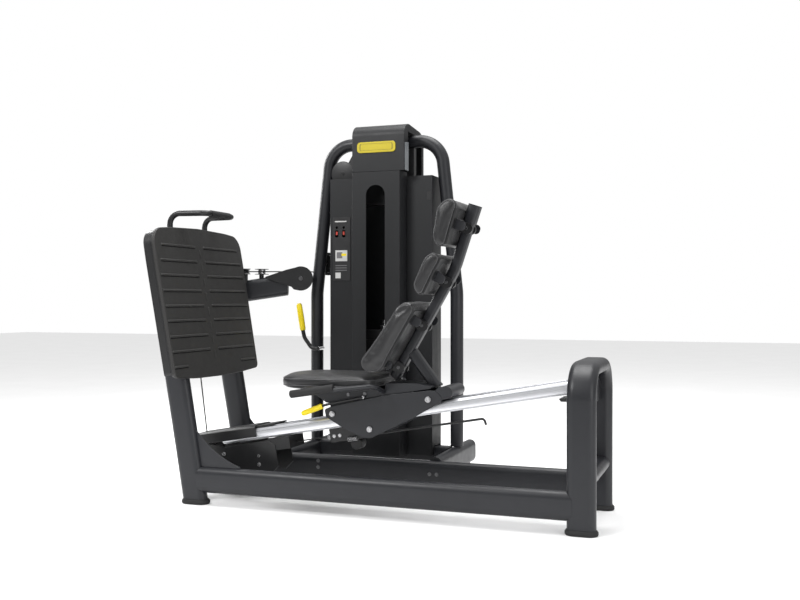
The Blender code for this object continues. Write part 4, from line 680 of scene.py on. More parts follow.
# selector rod with a collar that seats on the head plate
make("selector_rod", lathe([(0.0125, STACK_Z0 + 0.006), (0.0125, Z2 + 0.039), (0.022, Z2 + 0.039), (0.022, Z2 + 0.056),
                            (0.012, Z2 + 0.062), (0.012, Z2 + 0.082)], "Z", (TOWER_X, STACK_Y, 0), 12), "steel")
PIN_Z = Z1 + 0.0065
make("selector_pin", lathe([(0.0050, -0.0900), (0.0050, -0.0140)], "Y", (TOWER_X, STACK_Y, PIN_Z), 10), "steel")
ob = bpy.data.objects["selector_pin"]
bm = bmesh.new()
lathe([(0.010, -0.1055), (0.014, -0.1035), (0.014, -0.0885), (0.0095, -0.0860)], "Y", (TOWER_X, STACK_Y, PIN_Z), 14, bm=bm)
make("pin_knob", bm, "yellow")

# ------------------------------------------------- top pulleys and guards
TPX, TPZ, TPR = -1.1180, 1.2900, 0.0420      # side pulley, at the hoop's left shoulder
CPR = 0.0360
CPX, CPZ = TOWER_X - CPR, 1.2960             # pulley above the selector rod
make("top_pulley_side", pulley((TPX, TOWER_Y, TPZ), TPR, 0.010, 0.0063, "Y", 24), "plastic", pivot=(TPX, TOWER_Y, TPZ))
make("top_pulley_centre", pulley((CPX, TOWER_Y, CPZ), CPR, 0.010, 0.0063, "Y", 24), "plastic", pivot=(CPX, TOWER_Y, CPZ))
make("top_pulley_guard", loft([[Vector((TPX + x, y, TPZ + z)) for x, z in circle(r, 28)] for y, r in ((0.6715, 0.0505), (0.6730, 0.0520), (0.6765, 0.0520))]), "black_paint")
bm = bmesh.new()
make("top_axle_side", lathe([(0.0058, 0.6745), (0.0058, 0.7255)], "Y", (TPX, 0, TPZ), 12), "steel")
make("top_axle_centre", lathe([(0.0058, 0.6745), (0.0058, 0.7255)], "Y", (CPX, 0, CPZ), 12), "steel")
bm.free()
# hanger plates under the hoop that carry both axles
make("hanger_front", prism([(TPX + 0.030, TPZ - 0.020), (CPX - 0.02, CPZ - 0.030), (-0.9000, CPZ - 0.030), (-0.9000, 1.3840), (TPX + 0.0535, 1.3840), (TPX + 0.030, TPZ + 0.030)],
                           "Y", 0.6725, 0.6765), "black_paint", smooth=False)
make("hanger_rear", prism([(TPX - 0.015, TPZ - 0.020), (CPX - 0.02, CPZ - 0.030), (-0.9000, CPZ - 0.030), (-0.9000, 1.3840), (TPX + 0.030, 1.3840), (TPX - 0.015, TPZ + 0.020)],
                          "Y", 0.7240, 0.7280), "black_paint", smooth=False)

# ------------------------------------------------------- shrouds and cap
def channel(pts, t):
    """Open sheet of thickness t along a polyline in XY (thickness on the left)."""
    P = [Vector(p) for p in pts]
    off = []
    for i, p in enumerate(P):
        d0 = (P[i] - P[i - 1]).normalized() if i else (P[1] - P[0]).normalized()
        d1 = (P[i + 1] - P[i]).normalized() if i < len(P) - 1 else d0
        n0, n1 = Vector((-d0.y, d0.x)), Vector((-d1.y, d1.x))
        b = (n0 + n1).normalized()
        off.append(p + b * (t / max(0.4, b.dot(n0))))
    return [(p.x, p.y) for p in P] + [(q.x, q.y) for q in reversed(off)]


CS_C, CS_HALF = -0.9293, 0.1118
CS_L, CS_R = CS_C - CS_HALF, CS_C + CS_HALF
CENTRE_Y = 0.575
SH_Z0, SH_Z1, CS_Z1 = 0.1520, 1.262, 1.2780
cs_path = [(CS_L, 0.6480), (CS_L, CENTRE_Y + 0.025), (CS_L + 0.008, CENTRE_Y), (CS_R - 0.008, CENTRE_Y), (CS_R, CENTRE_Y + 0.025), (CS_R, 0.6480)]
ob = make("centre_shroud", prism(channel(cs_path, SHROUD_T), "Z", 0.1150, CS_Z1), "shroud")
SLOT_X, SLOT_W, SLOT_Z0, SLOT_Z1 = -0.931, 0.082, 0.300, 1.223


def slot_outline(w, k):
    r = w / 2
    k = 32
    return [(-r, SLOT_Z0), (r, SLOT_Z0)] + [(r * cos(pi * i / k), SLOT_Z1 - r + r * sin(pi * i / k)) for i in range(k + 1)]


cut(ob, prism(slot_outline(SLOT_W, 10), "Y", 0.55, 0.595, origin=(SLOT_X, 0, 0)), "slot_cutter")


def side_path(sx):
    """Plan of a side shroud, from its inner edge round to its back edge."""
    inner = (CS_R + 0.0012) if sx > 0 else (CS_L - 0.0012)
    return [(inner, SHROUD_Y), (TOWER_X + sx * 0.2270, SHROUD_Y), (TOWER_X + sx * 0.2300, 0.7500), (TOWER_X + sx * 0.2150, SHROUD_BACK)]


for tag, sx in (("left", -1), ("right", 1)):
    p = side_path(sx)
    ob = make("side_shroud_" + tag, prism(channel(p if sx > 0 else list(reversed(p)), SHROUD_T), "Z", 0.1150, SH_Z1), "shroud")
    # the lower edge clears the crossbar between the ties
    cut(ob, box((TOWER_X + min(sx * 0.20, sx * 0.26), 0.668, 0.10), (TOWER_X + max(sx * 0.20, sx * 0.26), 0.740, SH_Z0)), "crossbar_notch_" + tag)
    if sx < 0:
        cut(ob, box((-1.180, 0.666, 1.165), (-1.150, 0.736, 1.30)), "cable_notch")
make("rear_shroud", box((TOWER_X - 0.2120, SHROUD_BACK + GAP, 0.1150), (TOWER_X + 0.2120, SHROUD_BACK + 0.003, SH_Z1)), "shroud", smooth=False)

# cap: hollow shell, open below, that sits over the hoop's middle
CAP_L, CAP_R = -1.0340, -0.8050
CAP_B, CAP_Z0, CAP_Z1 = 0.826, CS_Z1 + GAP, 1.475


def cap_side(off, k):
    k = 16
    f, b, z1, r = CENTRE_Y + off, CAP_B - off, CAP_Z1 - off, 0.062 - off
    pts = [(f, CAP_Z0)] + [(f + r + r * cos(a), z1 - r * 0.82 + r * 0.82 * sin(a)) for a in [pi - pi / 2 * i / k for i in range(k + 1)]]
    pts += [(b - r + r * cos(a), z1 - 0.010 - r + r * sin(a)) for a in [pi / 2 - pi / 2 * i / k for i in range(k + 1)]]
    pts += [(b, CAP_Z0)]
    return pts


def cap_bm(k):
    bm = bmesh.new()
    outer = cap_side(0, k)
    inner = cap_side(0.003, k)
    rows = [[bm.verts.new((x, y, z)) for y, z in pts] for x, pts in
            ((CAP_L, outer), (CAP_R, outer), (CAP_R - 0.003, inner), (CAP_L + 0.003, inner))]
    n = len(outer)
    for i in range(n - 1):
        bm.faces.new((rows[0][i], rows[0][i + 1], rows[1][i + 1], rows[1][i]))
        bm.faces.new((rows[3][i], rows[3][i + 1], rows[2][i + 1], rows[2][i]))
    bm.faces.new(rows[0])
    bm.faces.new(rows[1])
    bm.faces.new(rows[3])
    bm.faces.new(rows[2])
    bm.faces.new((rows[0][0], rows[1][0], rows[2][0], rows[3][0]))
    bm.faces.new((rows[0][-1], rows[1][-1], rows[2][-1], rows[3][-1]))
    bm.faces.new((rows[0][0], rows[3][0], rows[3][-1], rows[0][-1]))
    bm.faces.new((rows[1][0], rows[2][0], rows[2][-1], rows[1][-1]))
    return bm


cap = make("tower_cap", cap_bm(6), "shroud")
# both sides are open behind the front shell, where the hoop and the cable pass
cut(cap, box((CAP_L - 0.02, 0.6240, 1.20), (CAP_R + 0.02, 0.8000, 1.4415)), "side_opening")
make("cap_strip", prism(round_poly([(0.5790, CAP_Z0 + 0.002), (0.6220, CAP_Z0 + 0.002), (0.6220, 1.398), (0.5790, 1.392)], 0.003, 1), "X",
                        CAP_R + GAP, CAP_R + 0.0025), "strip")
make("badge", prism(round_poly([(-0.084, -0.022), (0.084, -0.022), (0.084, 0.022), (-0.084, 0.022)], 0.014, 3), "Y",
                    CENTRE_Y - 0.0034, CENTRE_Y - GAP, origin=(-0.9265, 0, 1.3780)), "yellow")
make("placard", prism(round_rect(0.080, 0.268, 0.003, 1), "Y", SHROUD_Y - 0.0024, SHROUD_Y - GAP, origin=(-1.1080, 0, 0.967)), "print", smooth=False)

# ---------------------------------------------------- arm to the footplate
ARM_A = Vector((-1.5650, 0.5600, 0.7833))        # arm axis beside the footplate's back
ARM_B = Vector((-1.3000, 0.6500, 0.8430))        # axle of the arm's end pulley
CABLE_Z = 0.8730                                 # height of the cable's level run
ARM_H = Vector((ARM_B.x - ARM_A.x, ARM_B.y - ARM_A.y, 0)).normalized()
ARM_N = Vector((ARM_H.y, -ARM_H.x, 0))           # square to the arm, towards the user
UPZ = Vector((0, 0, 1))
ARM_LEN = (Vector((ARM_B.x, ARM_B.y, 0)) - Vector((ARM_A.x, ARM_A.y, 0))).length
ARM_RISE = 0.150


def arm_pt(s, n=0.0, z=None):
    """Point s along the arm in plan, n towards the user."""
    p = ARM_A + ARM_H * s + ARM_N * n
    p.z = ARM_A.z + ARM_RISE * s if z is None else z
    return p


def arm_body(k):
    sec = stadium(0.092, 0.046, k)
    return loft([[arm_pt(s, v) + UPZ * x for x, v in sec] for s in (-0.030, ARM_LEN - 0.058)])


arm = make("arm_tube", arm_body(K), "frame_paint")
make("arm_foot", box((-1.5900, Y_FAR + TUBE_T / 2 + GAP, 0.7450), (-1.5300, 0.5500, 0.8100)), "frame_paint", smooth=False)


def teardrop(r, k, tail):
    """Disc at the axle with a tail back along the arm."""
    k = 48
    pts = [(r * cos(a), r * sin(a)) for a in [radians(-100) + radians(215) * i / k for i in range(k + 1)]]
    return pts + tail


AX_ARM = (ARM_H, UPZ, ARM_N)
front_tail = [(-0.060, 0.0380), (-0.150, 0.0080), (-0.156, 0.0020), (-0.040, -0.0360), (-0.030, -0.0470)]
make("arm_guard_front", prism(teardrop(0.052, 18, front_tail), AX_ARM, 0.0272, 0.0306, origin=ARM_B), "black_paint")
make("arm_guard_rear", prism(teardrop(0.036, 14, [(-0.060, 0.0240), (-0.100, 0.0100), (-0.100, -0.0250), (-0.040, -0.0330)]), AX_ARM, -0.0306, -0.0272, origin=ARM_B), "black_paint")
make("arm_pulley_axle", lathe([(0.0058, -0.0290), (0.0058, 0.0290)], AX_ARM, ARM_B, 12), "steel")
make("arm_pulley", pulley(ARM_B, 0.030, 0.010, 0.0063, AX_ARM, 22), "plastic", pivot=ARM_B)

# pulley behind the tower leg that turns the cable upwards
LG = Vector((-1.2250, 0.7480, CABLE_Z + 0.036))
make("leg_pulley", pulley(LG, 0.036, 0.010, 0.0063, "Y", 22), "plastic", pivot=LG)
bm = bmesh.new()
lathe([(0.0500, 0.7610), (0.0500, 0.7645)], "Y", (LG.x, 0, LG.z), 22, bm=bm)
make("leg_pulley_guard", bm, "black_paint")
make("leg_pulley_axle", lathe([(0.0058, 0.7272), (0.0058, 0.7630)], "Y", (LG.x, 0, LG.z), 12), "steel")

# two level pulleys on the arm that guide the cable, between guard plates
T1, T2 = Vector((-1.5245, 0.5505, CABLE_Z)), arm_pt(0.105, -0.0195, CABLE_Z)
bm = bmesh.new()
ringbody([(0.0063, -0.008), (0.025, -0.008), (0.025, -0.006), (0.0185, -0.001), (0.0185, 0.001), (0.025, 0.006), (0.025, 0.008), (0.0063, 0.008)], "Z", T1, 18, bm=bm)
make("turn_pulley", bm, "plastic", pivot=T1)
for n, c, r, rs in ((1, T1, 0.028, 0.0058), (2, T2, 0.030, 0.0160)):
    make("turn_guard_%d_low" % n, lathe([(r, -0.0120), (r, -0.0095)], "Z", c, 22), "black_paint")
    make("turn_guard_%d_top" % n, lathe([(r, 0.0095), (r, 0.0120)], "Z", c, 22), "black_paint")
    make("turn_guard_%d_hub" % n, lathe([(rs, -0.0100), (rs, 0.0100)], "Z", c, 12), "steel")
for n, (sp, dn, z0) in enumerate(((0.040, 0.012, 0.822), (0.105, -0.012, 0.832))):
    tc = arm_pt(sp, dn, 0.0)
    make("turn_guard_post_%d" % n, lathe([(0.0100, z0), (0.0100, CABLE_Z - 0.0105)], "Z", (tc.x, tc.y, 0), 12), "black_paint")

# pulley behind the footplate at the top of the rising cable
RD = Vector((0.0275, 0.3485, 0)).normalized()
RP = Vector((-1.5740, Y_MID, CABLE_Z - 0.034)) + RD * 0.034
AX_R = (RD, UPZ, RD.cross(UPZ))
make("rise_pulley", pulley(RP, 0.034, 0.009, 0.0063, AX_R, 22), "plastic", pivot=RP)
make("rise_pulley_axle", lathe([(0.0058, -0.0120), (0.0058, 0.0580)], AX_R, RP, 12), "steel")

# -------------------------------------------------------------- footplate
FP_Y, FP_HALF = 0.1950, 0.3175
FP_O = Vector((-1.4310, FP_Y, 0.4700))
AX_F = (Vector((0, 1, 0)), LEAN_V, LEAN_U)       # outline (y, height), towards the user


def foot_outline(k, g=0.0):
    w = FP_HALF - g
    pts = [(-0.16, -0.0105 + g), (0.0, -0.0130 + g), (0.16, -0.0105 + g), (w - 0.0075, 0.0 + g), (w, 0.440), (w - 0.002, 0.5535 - g),
           (0.20, 0.5640 - g), (0.0, 0.5705 - g), (-0.20, 0.5640 - g), (-w + 0.002, 0.5535 - g), (-w, 0.440), (-w + 0.0075, 0.0 + g)]
    return round_poly(pts, [0.3, 0.3, 0.3, 0.022, 0.4, 0.075, 0.35, 0.5, 0.35, 0.075, 0.4, 0.022], k)


make("footplate_mat", prism(foot_outline(4), AX_F, -0.0130, 0.0, origin=FP_O), "mat_rubber")
make("footplate_backing", prism(foot_outline(3, 0.004), AX_F, -0.0209, -0.0134, origin=FP_O), "black_paint")
# pulley and handle carriers behind the plate


def back_pt(y, h, n):
    return FP_O + Vector((0, y - FP_Y, 0)) + LEAN_V * h + LEAN_U * n


HDL_X, HDL_DY = -1.5820, 0.1246
BAR_X, BAR_DY, BAR_Z = -1.4375, 0.1024, 1.0830
for sy in (-1, 1):
    y = Y_MID + sy * HDL_DY
    c = back_pt(y, 0.385, -0.0190)
    make("handle_mount_%d" % (sy + 1), box((HDL_X + 0.0115, y - 0.014, c.z - 0.030), (c.x, y + 0.014, c.z + 0.020)), "black_paint", smooth=False)


def handle_path(k):
    y0, y1 = Y_MID - HDL_DY, Y_MID + HDL_DY
    return bend_path([(HDL_X, y0, 0.790), (HDL_X, y0, BAR_Z), (BAR_X, Y_MID - BAR_DY, BAR_Z), (BAR_X, Y_MID + BAR_DY, BAR_Z), (HDL_X, y1, BAR_Z), (HDL_X, y1, 0.790)],
                     [0.040, 0.028, 0.028, 0.040], k)


make("footplate_handle", tube3d(handle_path(5), 0.0110, 10), "black_paint")
make("handle_grip", ringbody([(0.0100, -0.070), (0.0130, -0.070), (0.0135, -0.068), (0.0135, 0.068), (0.0130, 0.070), (0.0100, 0.070)], "Y", (BAR_X, Y_MID, BAR_Z), 14), "rubber")

# ------------------------------------------------------- tower hand lever
LV_Y = 0.6420
LV_P = Vector((-1.2200, LV_Y, 0.5440))           # lever pivot, on a stub from the tower leg


def lever_path(k):
    return bend_path([(-1.2200, LV_Y, 0.5440), (-1.2480, LV_Y, 0.5440), (-1.2830, LV_Y, 0.5900), (-1.2890, LV_Y, 0.6180), (-1.3060, LV_Y, 0.7260)], [0.030, 0.05, 0.05], k)


make("lever_stem", tube3d(lever_path(4), 0.0085, 10), "black_paint", pivot=LV_P)
gd = (Vector((-1.3085, LV_Y, 0.7360)) - Vector((-1.2890, LV_Y, 0.6180))).normalized()
gu = gd.cross(Vector((0, 1, 0))).normalized()
make("lever_grip", lathe([(0.0105, -0.001), (0.0122, 0.004), (0.0128, 0.050), (0.0120, 0.108), (0.0080, 0.116)], (gu, Vector((0, 1, 0)), gd),
                         Vector((-1.2890, LV_Y, 0.6180)) + gd * 0.004, 12), "yellow", pivot=LV_P)
make("lever_pivot", lathe([(0.0080, 0.6510), (0.0080, 0.6950)], "Y", (LV_P.x, 0, LV_P.z), 12), "steel")

# ------------------------------------------------------------- carriage
PL_Y0, PL_Y1, PL_T = 0.1200, 0.2750, 0.0080      # near plate's outer face, far plate's inner face


def side_outline(k):
    pts = [(-0.9540, 0.3520), (-0.9480, 0.3240), (-0.8800, 0.2870), (-0.8020, 0.2550), (-0.7720, 0.2550), (-0.7500, 0.2660), (-0.6140, 0.3330),
           (-0.5060, 0.3960), (-0.5060, 0.4120), (-0.5270, 0.4330), (-0.5500, 0.4340), (-0.7220, 0.4110), (-0.8560, 0.3800), (-0.9310, 0.3620)]
    return round_poly(pts, [0.010, 0.008, 0.08, 0.016, 0.016, 0.02, 0.1, 0.02, 0.012, 0.016, 0.02, 0.1, 0.1, 0.02], k)


AX1 = rail_pt(0.1905, RAIL_H - 0.010 + WHEEL_R + GAP)      # front axle
AX3 = rail_pt(0.5630, RAIL_H - 0.010 + WHEEL_R + GAP)      # rear axle
AX2 = rail_pt(0.3260, -LOW_WHEEL_R - GAP)                  # lower axle
for tag, y0 in (("near", PL_Y0), ("far", PL_Y1)):
    ob = make("side_plate_" + tag, prism(side_outline(3), "Y", y0, y0 + PL_T), "frame_paint")
    bm = bmesh.new()
    for a in (AX1, AX2, AX3):
        lathe([(0.0064, y0 - 0.01), (0.0064, y0 + 0.02)], "Y", (a.x, 0, a.z), 10, bm=bm)
    cut(ob, bm, "axle_holes_" + tag)

def axle(a):
    y0, y1 = PL_Y0 - GAP, PL_Y1 + PL_T + GAP
    return lathe([(0.0105, y0 - 0.0056), (0.0105, y0), (0.0058, y0), (0.0058, y1), (0.0105, y1), (0.0105, y1 + 0.0056)], "Y", (a.x, 0, a.z), 12)


TOP_Y = ((Y_MID - 0.0260, Y_MID - 0.0120), (Y_MID + 0.0120, Y_MID + 0.0260))
LOW_Y = ((0.1440, 0.1600), (0.2430, 0.2590))
for tag, a, r, ys in (("front", AX1, WHEEL_R, TOP_Y), ("rear", AX3, WHEEL_R, TOP_Y), ("lower", AX2, LOW_WHEEL_R, LOW_Y)):
    make("wheels_" + tag, axle(a), "steel", pivot=a)
    for n, (y0, y1) in enumerate(ys):
        make("wheel_%s_%d" % (tag, n), ringbody([(0.0050, y0), (r - 0.001, y0), (r, y0 + 0.001), (r, y1 - 0.001), (r - 0.001, y1), (0.0050, y1)],
                                                "Y", (a.x, 0, a.z), 18), "plastic", pivot=a)

# rear cross tube of the carriage
ct = rail_pt(0.6225, RAIL_H + 0.0225 + 0.0020)
make("carriage_tube", prism([(x, t) for x, t in stadium(0.064, 0.044, 5)], (RU, RW, Vector((0, 1, 0))), PL_Y0 + 0.002, PL_Y1 + PL_T - 0.002, origin=(ct.x, 0, ct.z)), "frame_paint")

# seat support between the side plates
SUP = [(-0.9920, 0.4300), (-0.9920, 0.4020), (-0.9500, 0.3760), (-0.9200, 0.3740), (-0.6000, 0.4300), (-0.5480, 0.4390), (-0.5480, 0.4470),
       (-0.6000, 0.4560), (-0.7200, 0.4540), (-0.7200, 0.4300)]
make("seat_support", prism(round_poly(SUP, 0.004, 1), "Y", PL_Y0 + PL_T + GAP, PL_Y1 - GAP), "frame_paint", smooth=False)

# --------------------------------------------------- trolley under the rail
TR_S0, TR_S1 = 0.1450, 0.3000
b = prism(round_poly([(TR_S0, -0.0530), (TR_S1 - 0.030, -0.0530), (TR_S1, -0.0400), (TR_S1, -0.0006), (TR_S0, -0.0006)], 0.004, 1),
          (RU, RW, Vector((0, 1, 0))), Y_MID - 0.036, Y_MID + 0.036, origin=(RAIL_X0, 0, RAIL_Z0))
make("trolley_block", b, "black_paint", smooth=False)
bm = bmesh.new()
c = rail_pt(TR_S0 - 0.016, CABLE_T)
lathe([(0.0070, -0.0100), (0.0110, -0.0040), (0.0110, 0.0185)], (Vector((0, 1, 0)), RW, RU), c, 12, bm=bm)
make("cable_anchor", bm, "steel")


# adjuster drum below the trolley, and its stop rod
tc = rail_pt(0.2400, -0.0690)
make("trolley_drum", lathe([(0.0200, -0.0240), (0.0220, -0.0220), (0.0220, 0.0220), (0.0200, 0.0240)], "Y", (tc.x, Y_MID, tc.z), 20), "plastic")
rod = bend_path([rail_pt(0.2700, -0.0450), rail_pt(0.7300, -0.0450), rail_pt(0.7330, -0.0680)], 0.012, 4)
make("stop_rod", tube3d(rod, 0.0042, 8), "black_paint")

# ------------------------------------------------------------ release lever
RL_Y = 0.1110
RLP = Vector((-0.8000, RL_Y, 0.4020))
p = [(-0.8000, RL_Y, 0.4020), (-0.9440, RL_Y, 0.3700), (-1.0300, RL_Y, 0.3370)]
make("release_lever", tube3d(bend_path(p, 0.10, 3), 0.0045, 8), "black_paint", pivot=RLP)
rd = (Vector(p[2]) - Vector(p[1])).normalized()
ru = rd.cross(Vector((0, 1, 0))).normalized()
gp = Vector(p[1]) + rd * 0.014
make("release_grip", lathe([(0.0085, 0.0), (0.0100, 0.004), (0.0104, 0.040), (0.0100, 0.080), (0.0070, 0.088)], (ru, Vector((0, 1, 0)), rd), gp, 12), "yellow", pivot=RLP)
make("release_pivot", lathe([(0.0060, 0.1100), (0.0060, 0.1196)], "Y", (RLP.x, 0, RLP.z), 10), "steel")

# ----------------------------------------------------------- seat handles
GR_D = Vector((0.1690, 0, 0.0280)).normalized()
for tag, y, s in (("near", 0.0300, 1), ("far", 2 * Y_MID - 0.0300, -1)):
    a = Vector((-1.0470, y, 0.4120))
    e = PL_Y0 + 0.0055 if s > 0 else PL_Y1 + 0.0025
    pts = [a + GR_D * 0.004, (-0.7250, y, 0.4520), (-0.7250, e, 0.4238)]
    make("seat_handle_" + tag, tube3d(bend_path(pts, 0.030, 4), 0.0080, 10), "frame_paint")
    g = lathe([(0.0115, 0.0), (0.0140, 0.003), (0.0145, 0.080), (0.0140, 0.168), (0.0120, 0.171)], (GR_D.cross(Vector((0, 1, 0))), Vector((0, 1, 0)), GR_D), a, 12)
    make("handle_grip_" + tag, g, "rubber")

# ---------------------------------------------------------------- backrest
POST_W, POST_T = 0.0360, 0.0400
PB0, PB1, PB2 = Vector((-0.7130, Y_MID, 0.4620)), Vector((-0.4814, Y_MID, 0.8576)), Vector((-0.4110, Y_MID, 1.0700))


def post_path(k):
    d = (PB1 - PB0)
    a = PB0 + d * ((0.4700 - PB0.z) / d.z)
    return bend_path([a, PB1, PB2], 0.30, k)


post = make("backrest_post", sweep(post_path(4), round_rect(POST_W, POST_T, 0.010, 2), (0, 1, 0)), "frame_paint")
cut(post, box((-0.80, 0.15, 0.40), (-0.66, 0.26, 0.4544)), "post_foot")
UD = (PB2 - PB1).normalized()
UN = Vector((0, 1, 0)).cross(UD)
b = sweep([PB2 - UD * 0.048, PB2 + UD * 0.019], round_rect(0.0450, 0.0480, 0.014, 3), (0, 1, 0))
make("post_sleeve", b, "frame_paint")
# strut from the post down to the back of the carriage
ST0, ST1 = Vector((-0.6420, Y_MID, 0.5650)), Vector((-0.5640, Y_MID, 0.4620))
sd = (ST1 - ST0).normalized()
strut = make("backrest_strut", sweep([ST0 + sd * 0.004, ST1 + sd * 0.03], round_rect(0.0400, 0.0400, 0.012, 2), (0, 1, 0)), "frame_paint")
cut(strut, prism([(-1.0, 0.30), (-0.3, 0.30), (-0.3, 0.4445), (-0.5440, 0.4475), (-0.6000, 0.4565), (-0.7200, 0.4545), (-1.0, 0.4545)], "Y", 0.10, 0.30), "strut_foot")

# brackets beside the post that carry the pads
LD = (PB1 - PB0).normalized()


def bracket(cz, d, off, n):
    """Tab pair at height cz, reaching from the pad's back over the post's side."""
    base = PB1 + d * ((cz - PB1.z) / d.z)
    front = d.cross(Vector((0, 1, 0)))            # from the post towards the pad
    if front.x > 0:
        front = -front
    o = [(-0.020, off), (0.020, off), (0.020, -0.004)] + [(0.020 * cos(a), -0.004 + 0.020 * sin(a)) for a in [-pi * i / 6 for i in range(1, 6)]] + [(-0.020, -0.004)]
    for k, (y0, y1) in enumerate(((0.1742, 0.1835), (0.2195, 0.2288))):
        make("pad_bracket_%d%d" % (n, k), prism(o, (d, front, Vector((0, 1, 0))), y0, y1, origin=(base.x, 0, base.z)), "black_paint")


for n, (cz, d) in enumerate(((1.0050, UD), (0.8150, LD), (0.6600, LD), (0.5080, LD))):
    bracket(cz, d, 0.0188, n)

# ----------------------------------------------------------------- cushions
PAD_Y0, PAD_Y1 = 0.0600, 0.3430


def pad_body(outline, r, k, y0=PAD_Y0, y1=PAD_Y1, edge=0.010):
    """Cushion: a side profile carried across, with its two ends rounded in."""
    n = len(outline)
    cx, cz = sum(p[0] for p in outline) / n, sum(p[1] for p in outline) / n
    o = round_poly(outline, r, k)
    rings = []
    for y, g in ((y0, edge), (y0 + edge * 0.35, edge * 0.35), (y0 + edge, 0.0), (y1 - edge, 0.0), (y1 - edge * 0.35, edge * 0.35), (y1, edge)):
        ring = []
        for x, z in o:
            d = Vector((x - cx, z - cz))
            f = 1 - g / max(0.02, d.length)
            ring.append(Vector((cx + d.x * f, y, cz + d.y * f)))
        rings.append(ring)
    return loft(rings)


HEAD = [(-0.5020, 1.0760), (-0.4800, 1.0960), (-0.4580, 1.1040), (-0.4400, 1.0940), (-0.4370, 1.0780), (-0.4800, 0.9360), (-0.4920, 0.9330), (-0.5150, 0.9480), (-0.5200, 0.9760)]
MID = [(-0.5230, 0.9180), (-0.5480, 0.8990), (-0.5930, 0.8030), (-0.5860, 0.7830), (-0.5720, 0.7660), (-0.5640, 0.7660), (-0.4920, 0.9060)]
LUMBAR = [(-0.6220, 0.7490), (-0.6490, 0.7300), (-0.7960, 0.5310), (-0.7900, 0.5070), (-0.7620, 0.4900), (-0.7260, 0.4980), (-0.7130, 0.5080), (-0.5860, 0.7250), (-0.5960, 0.7440)]
make("head_pad", pad_body(HEAD, 0.012, 2), "leatherette")
make("middle_pad", pad_body(MID, 0.012, 2), "leatherette")
make("lumbar_pad", pad_body(LUMBAR, 0.012, 2), "leatherette")

SEAT_Z0, SEAT_Z1 = 0.4325, 0.4740


def seat_outline(k, g=0.0):
    pts = [(-1.0980 + g, 0.0430 + g), (-1.1550 + g, 0.2015), (-1.0980 + g, 0.3600 - g), (-0.7400 - g, 0.3520 - g), (-0.7400 - g, 0.0510 + g)]
    return round_poly(pts, [0.075, 0.16, 0.075, 0.045, 0.045], k)


o0, o1 = seat_outline(4, 0.010), seat_outline(4)
rings = [[Vector((x, y, SEAT_Z0)) for x, y in o0], [Vector((x, y, SEAT_Z0 + 0.008)) for x, y in o1], [Vector((x, y, SEAT_Z1 - 0.010)) for x, y in o1],
         [Vector((x, y, SEAT_Z1)) for x, y in seat_outline(4, 0.014)], [Vector((x, y, SEAT_Z1 + 0.007)) for x, y in seat_outline(4, 0.060)]]
make("seat_cushion", loft(rings), "leatherette")

# ------------------------------------------------------------------- cables
bm = tube3d([rail_pt(-0.145 + 0.0, CABLE_T), rail_pt(TR_S0 - 0.0262, CABLE_T)], CABLE_R, 8)
make("cable_trolley", bm, "cable")


def wrap(c, u, v, r, a0, a1, n):
    n = 24
    return [Vector(c) + u * (r * cos(a0 + (a1 - a0) * i / n)) + v * (r * sin(a0 + (a1 - a0) * i / n)) for i in range(n + 1)]


XX, ZZ = Vector((1, 0, 0)), Vector((0, 0, 1))
run = [rail_pt(-0.1455, CABLE_T), rail_pt(-0.300, CABLE_T + 0.001)]
low = wrap(LP, XX, ZZ, 0.034, radians(-82), radians(-172), 5)
up = wrap(RP, RD, ZZ, 0.034, pi, pi / 2, 5)
turn = wrap(T1, XX, Vector((0, 1, 0)), 0.0220, radians(175.5), radians(108.8), 4)
arm_run = [arm_pt(ARM_LEN - 0.02, 0.0, CABLE_Z)]
zc = CABLE_Z
over = [ARM_B + ZZ * 0.030, ARM_B + ARM_H * 0.0245 + ZZ * 0.030, Vector((-1.2745, 0.6900, zc)), Vector((-1.2745, 0.7100, zc)), Vector((-1.2680, 0.7320, zc)),
        Vector((-1.2500, 0.7450, zc))]
leg = wrap(LG, XX, ZZ, 0.036, radians(-90), radians(0), 5)
side = wrap((TPX, TOWER_Y, TPZ), XX, ZZ, TPR, pi, pi / 2, 5)
cen = wrap((CPX, TOWER_Y, CPZ), XX, ZZ, CPR, pi / 2, 0, 5)
make("cable_main", tube3d(run + low + up + turn + arm_run + over + leg + side + cen, CABLE_R, 6), "cable")
make("cable_drop", tube3d([Vector((TOWER_X, STACK_Y, CPZ - 0.0004)), Vector((TOWER_X, STACK_Y, Z2 + 0.0825))], CABLE_R, 8), "cable")

# ------------------------------------------------ welded and pressed joints
def weld(name, members):
    """These pieces stand for one CAD node, and stay separate pieces here."""
    for m in members:
        NODE_OF[m] = name


weld("front_upright_near", ["front_upright_near", "front_gusset_near", "foot_front_near"])
weld("front_upright_far", ["front_upright_far", "front_gusset_far", "foot_front_far"])
weld("rear_arch", ["rear_arch", "foot_rear_near", "foot_rear_far"])
weld("rail_end_beam", ["rail_end_beam", "rail_end_bracket"])
weld("rail_cover", ["rail_front_cover", "cover_tongue"])
weld("pulley_housing", ["housing_plate_near", "housing_axle_front", "housing_axle_riser", "housing_plate_far", "cable_guide_block"])
for t in ("left", "right"):
    weld("tower_tie_" + t, ["tower_tie_" + t, "tie_foot_rear_" + t, "tie_foot_front_" + t, "tie_cap_" + t])
weld("tower_hoop", ["tower_hoop", "lever_pivot"])
weld("stack_guides", ["stack_yoke", "guide_rod_0", "guide_rod_2"])
weld("head_plate", ["head_plate", "selector_rod"])
weld("selector_pin", ["selector_pin", "pin_knob"])
weld("top_pulley_hanger", ["hanger_front", "top_axle_side", "top_axle_centre", "hanger_rear", "top_pulley_guard"])
weld("arm_pulley_guard", ["arm_guard_front", "arm_pulley_axle", "arm_guard_rear"])
weld("leg_pulley_guard", ["leg_pulley_guard", "leg_pulley_axle"])
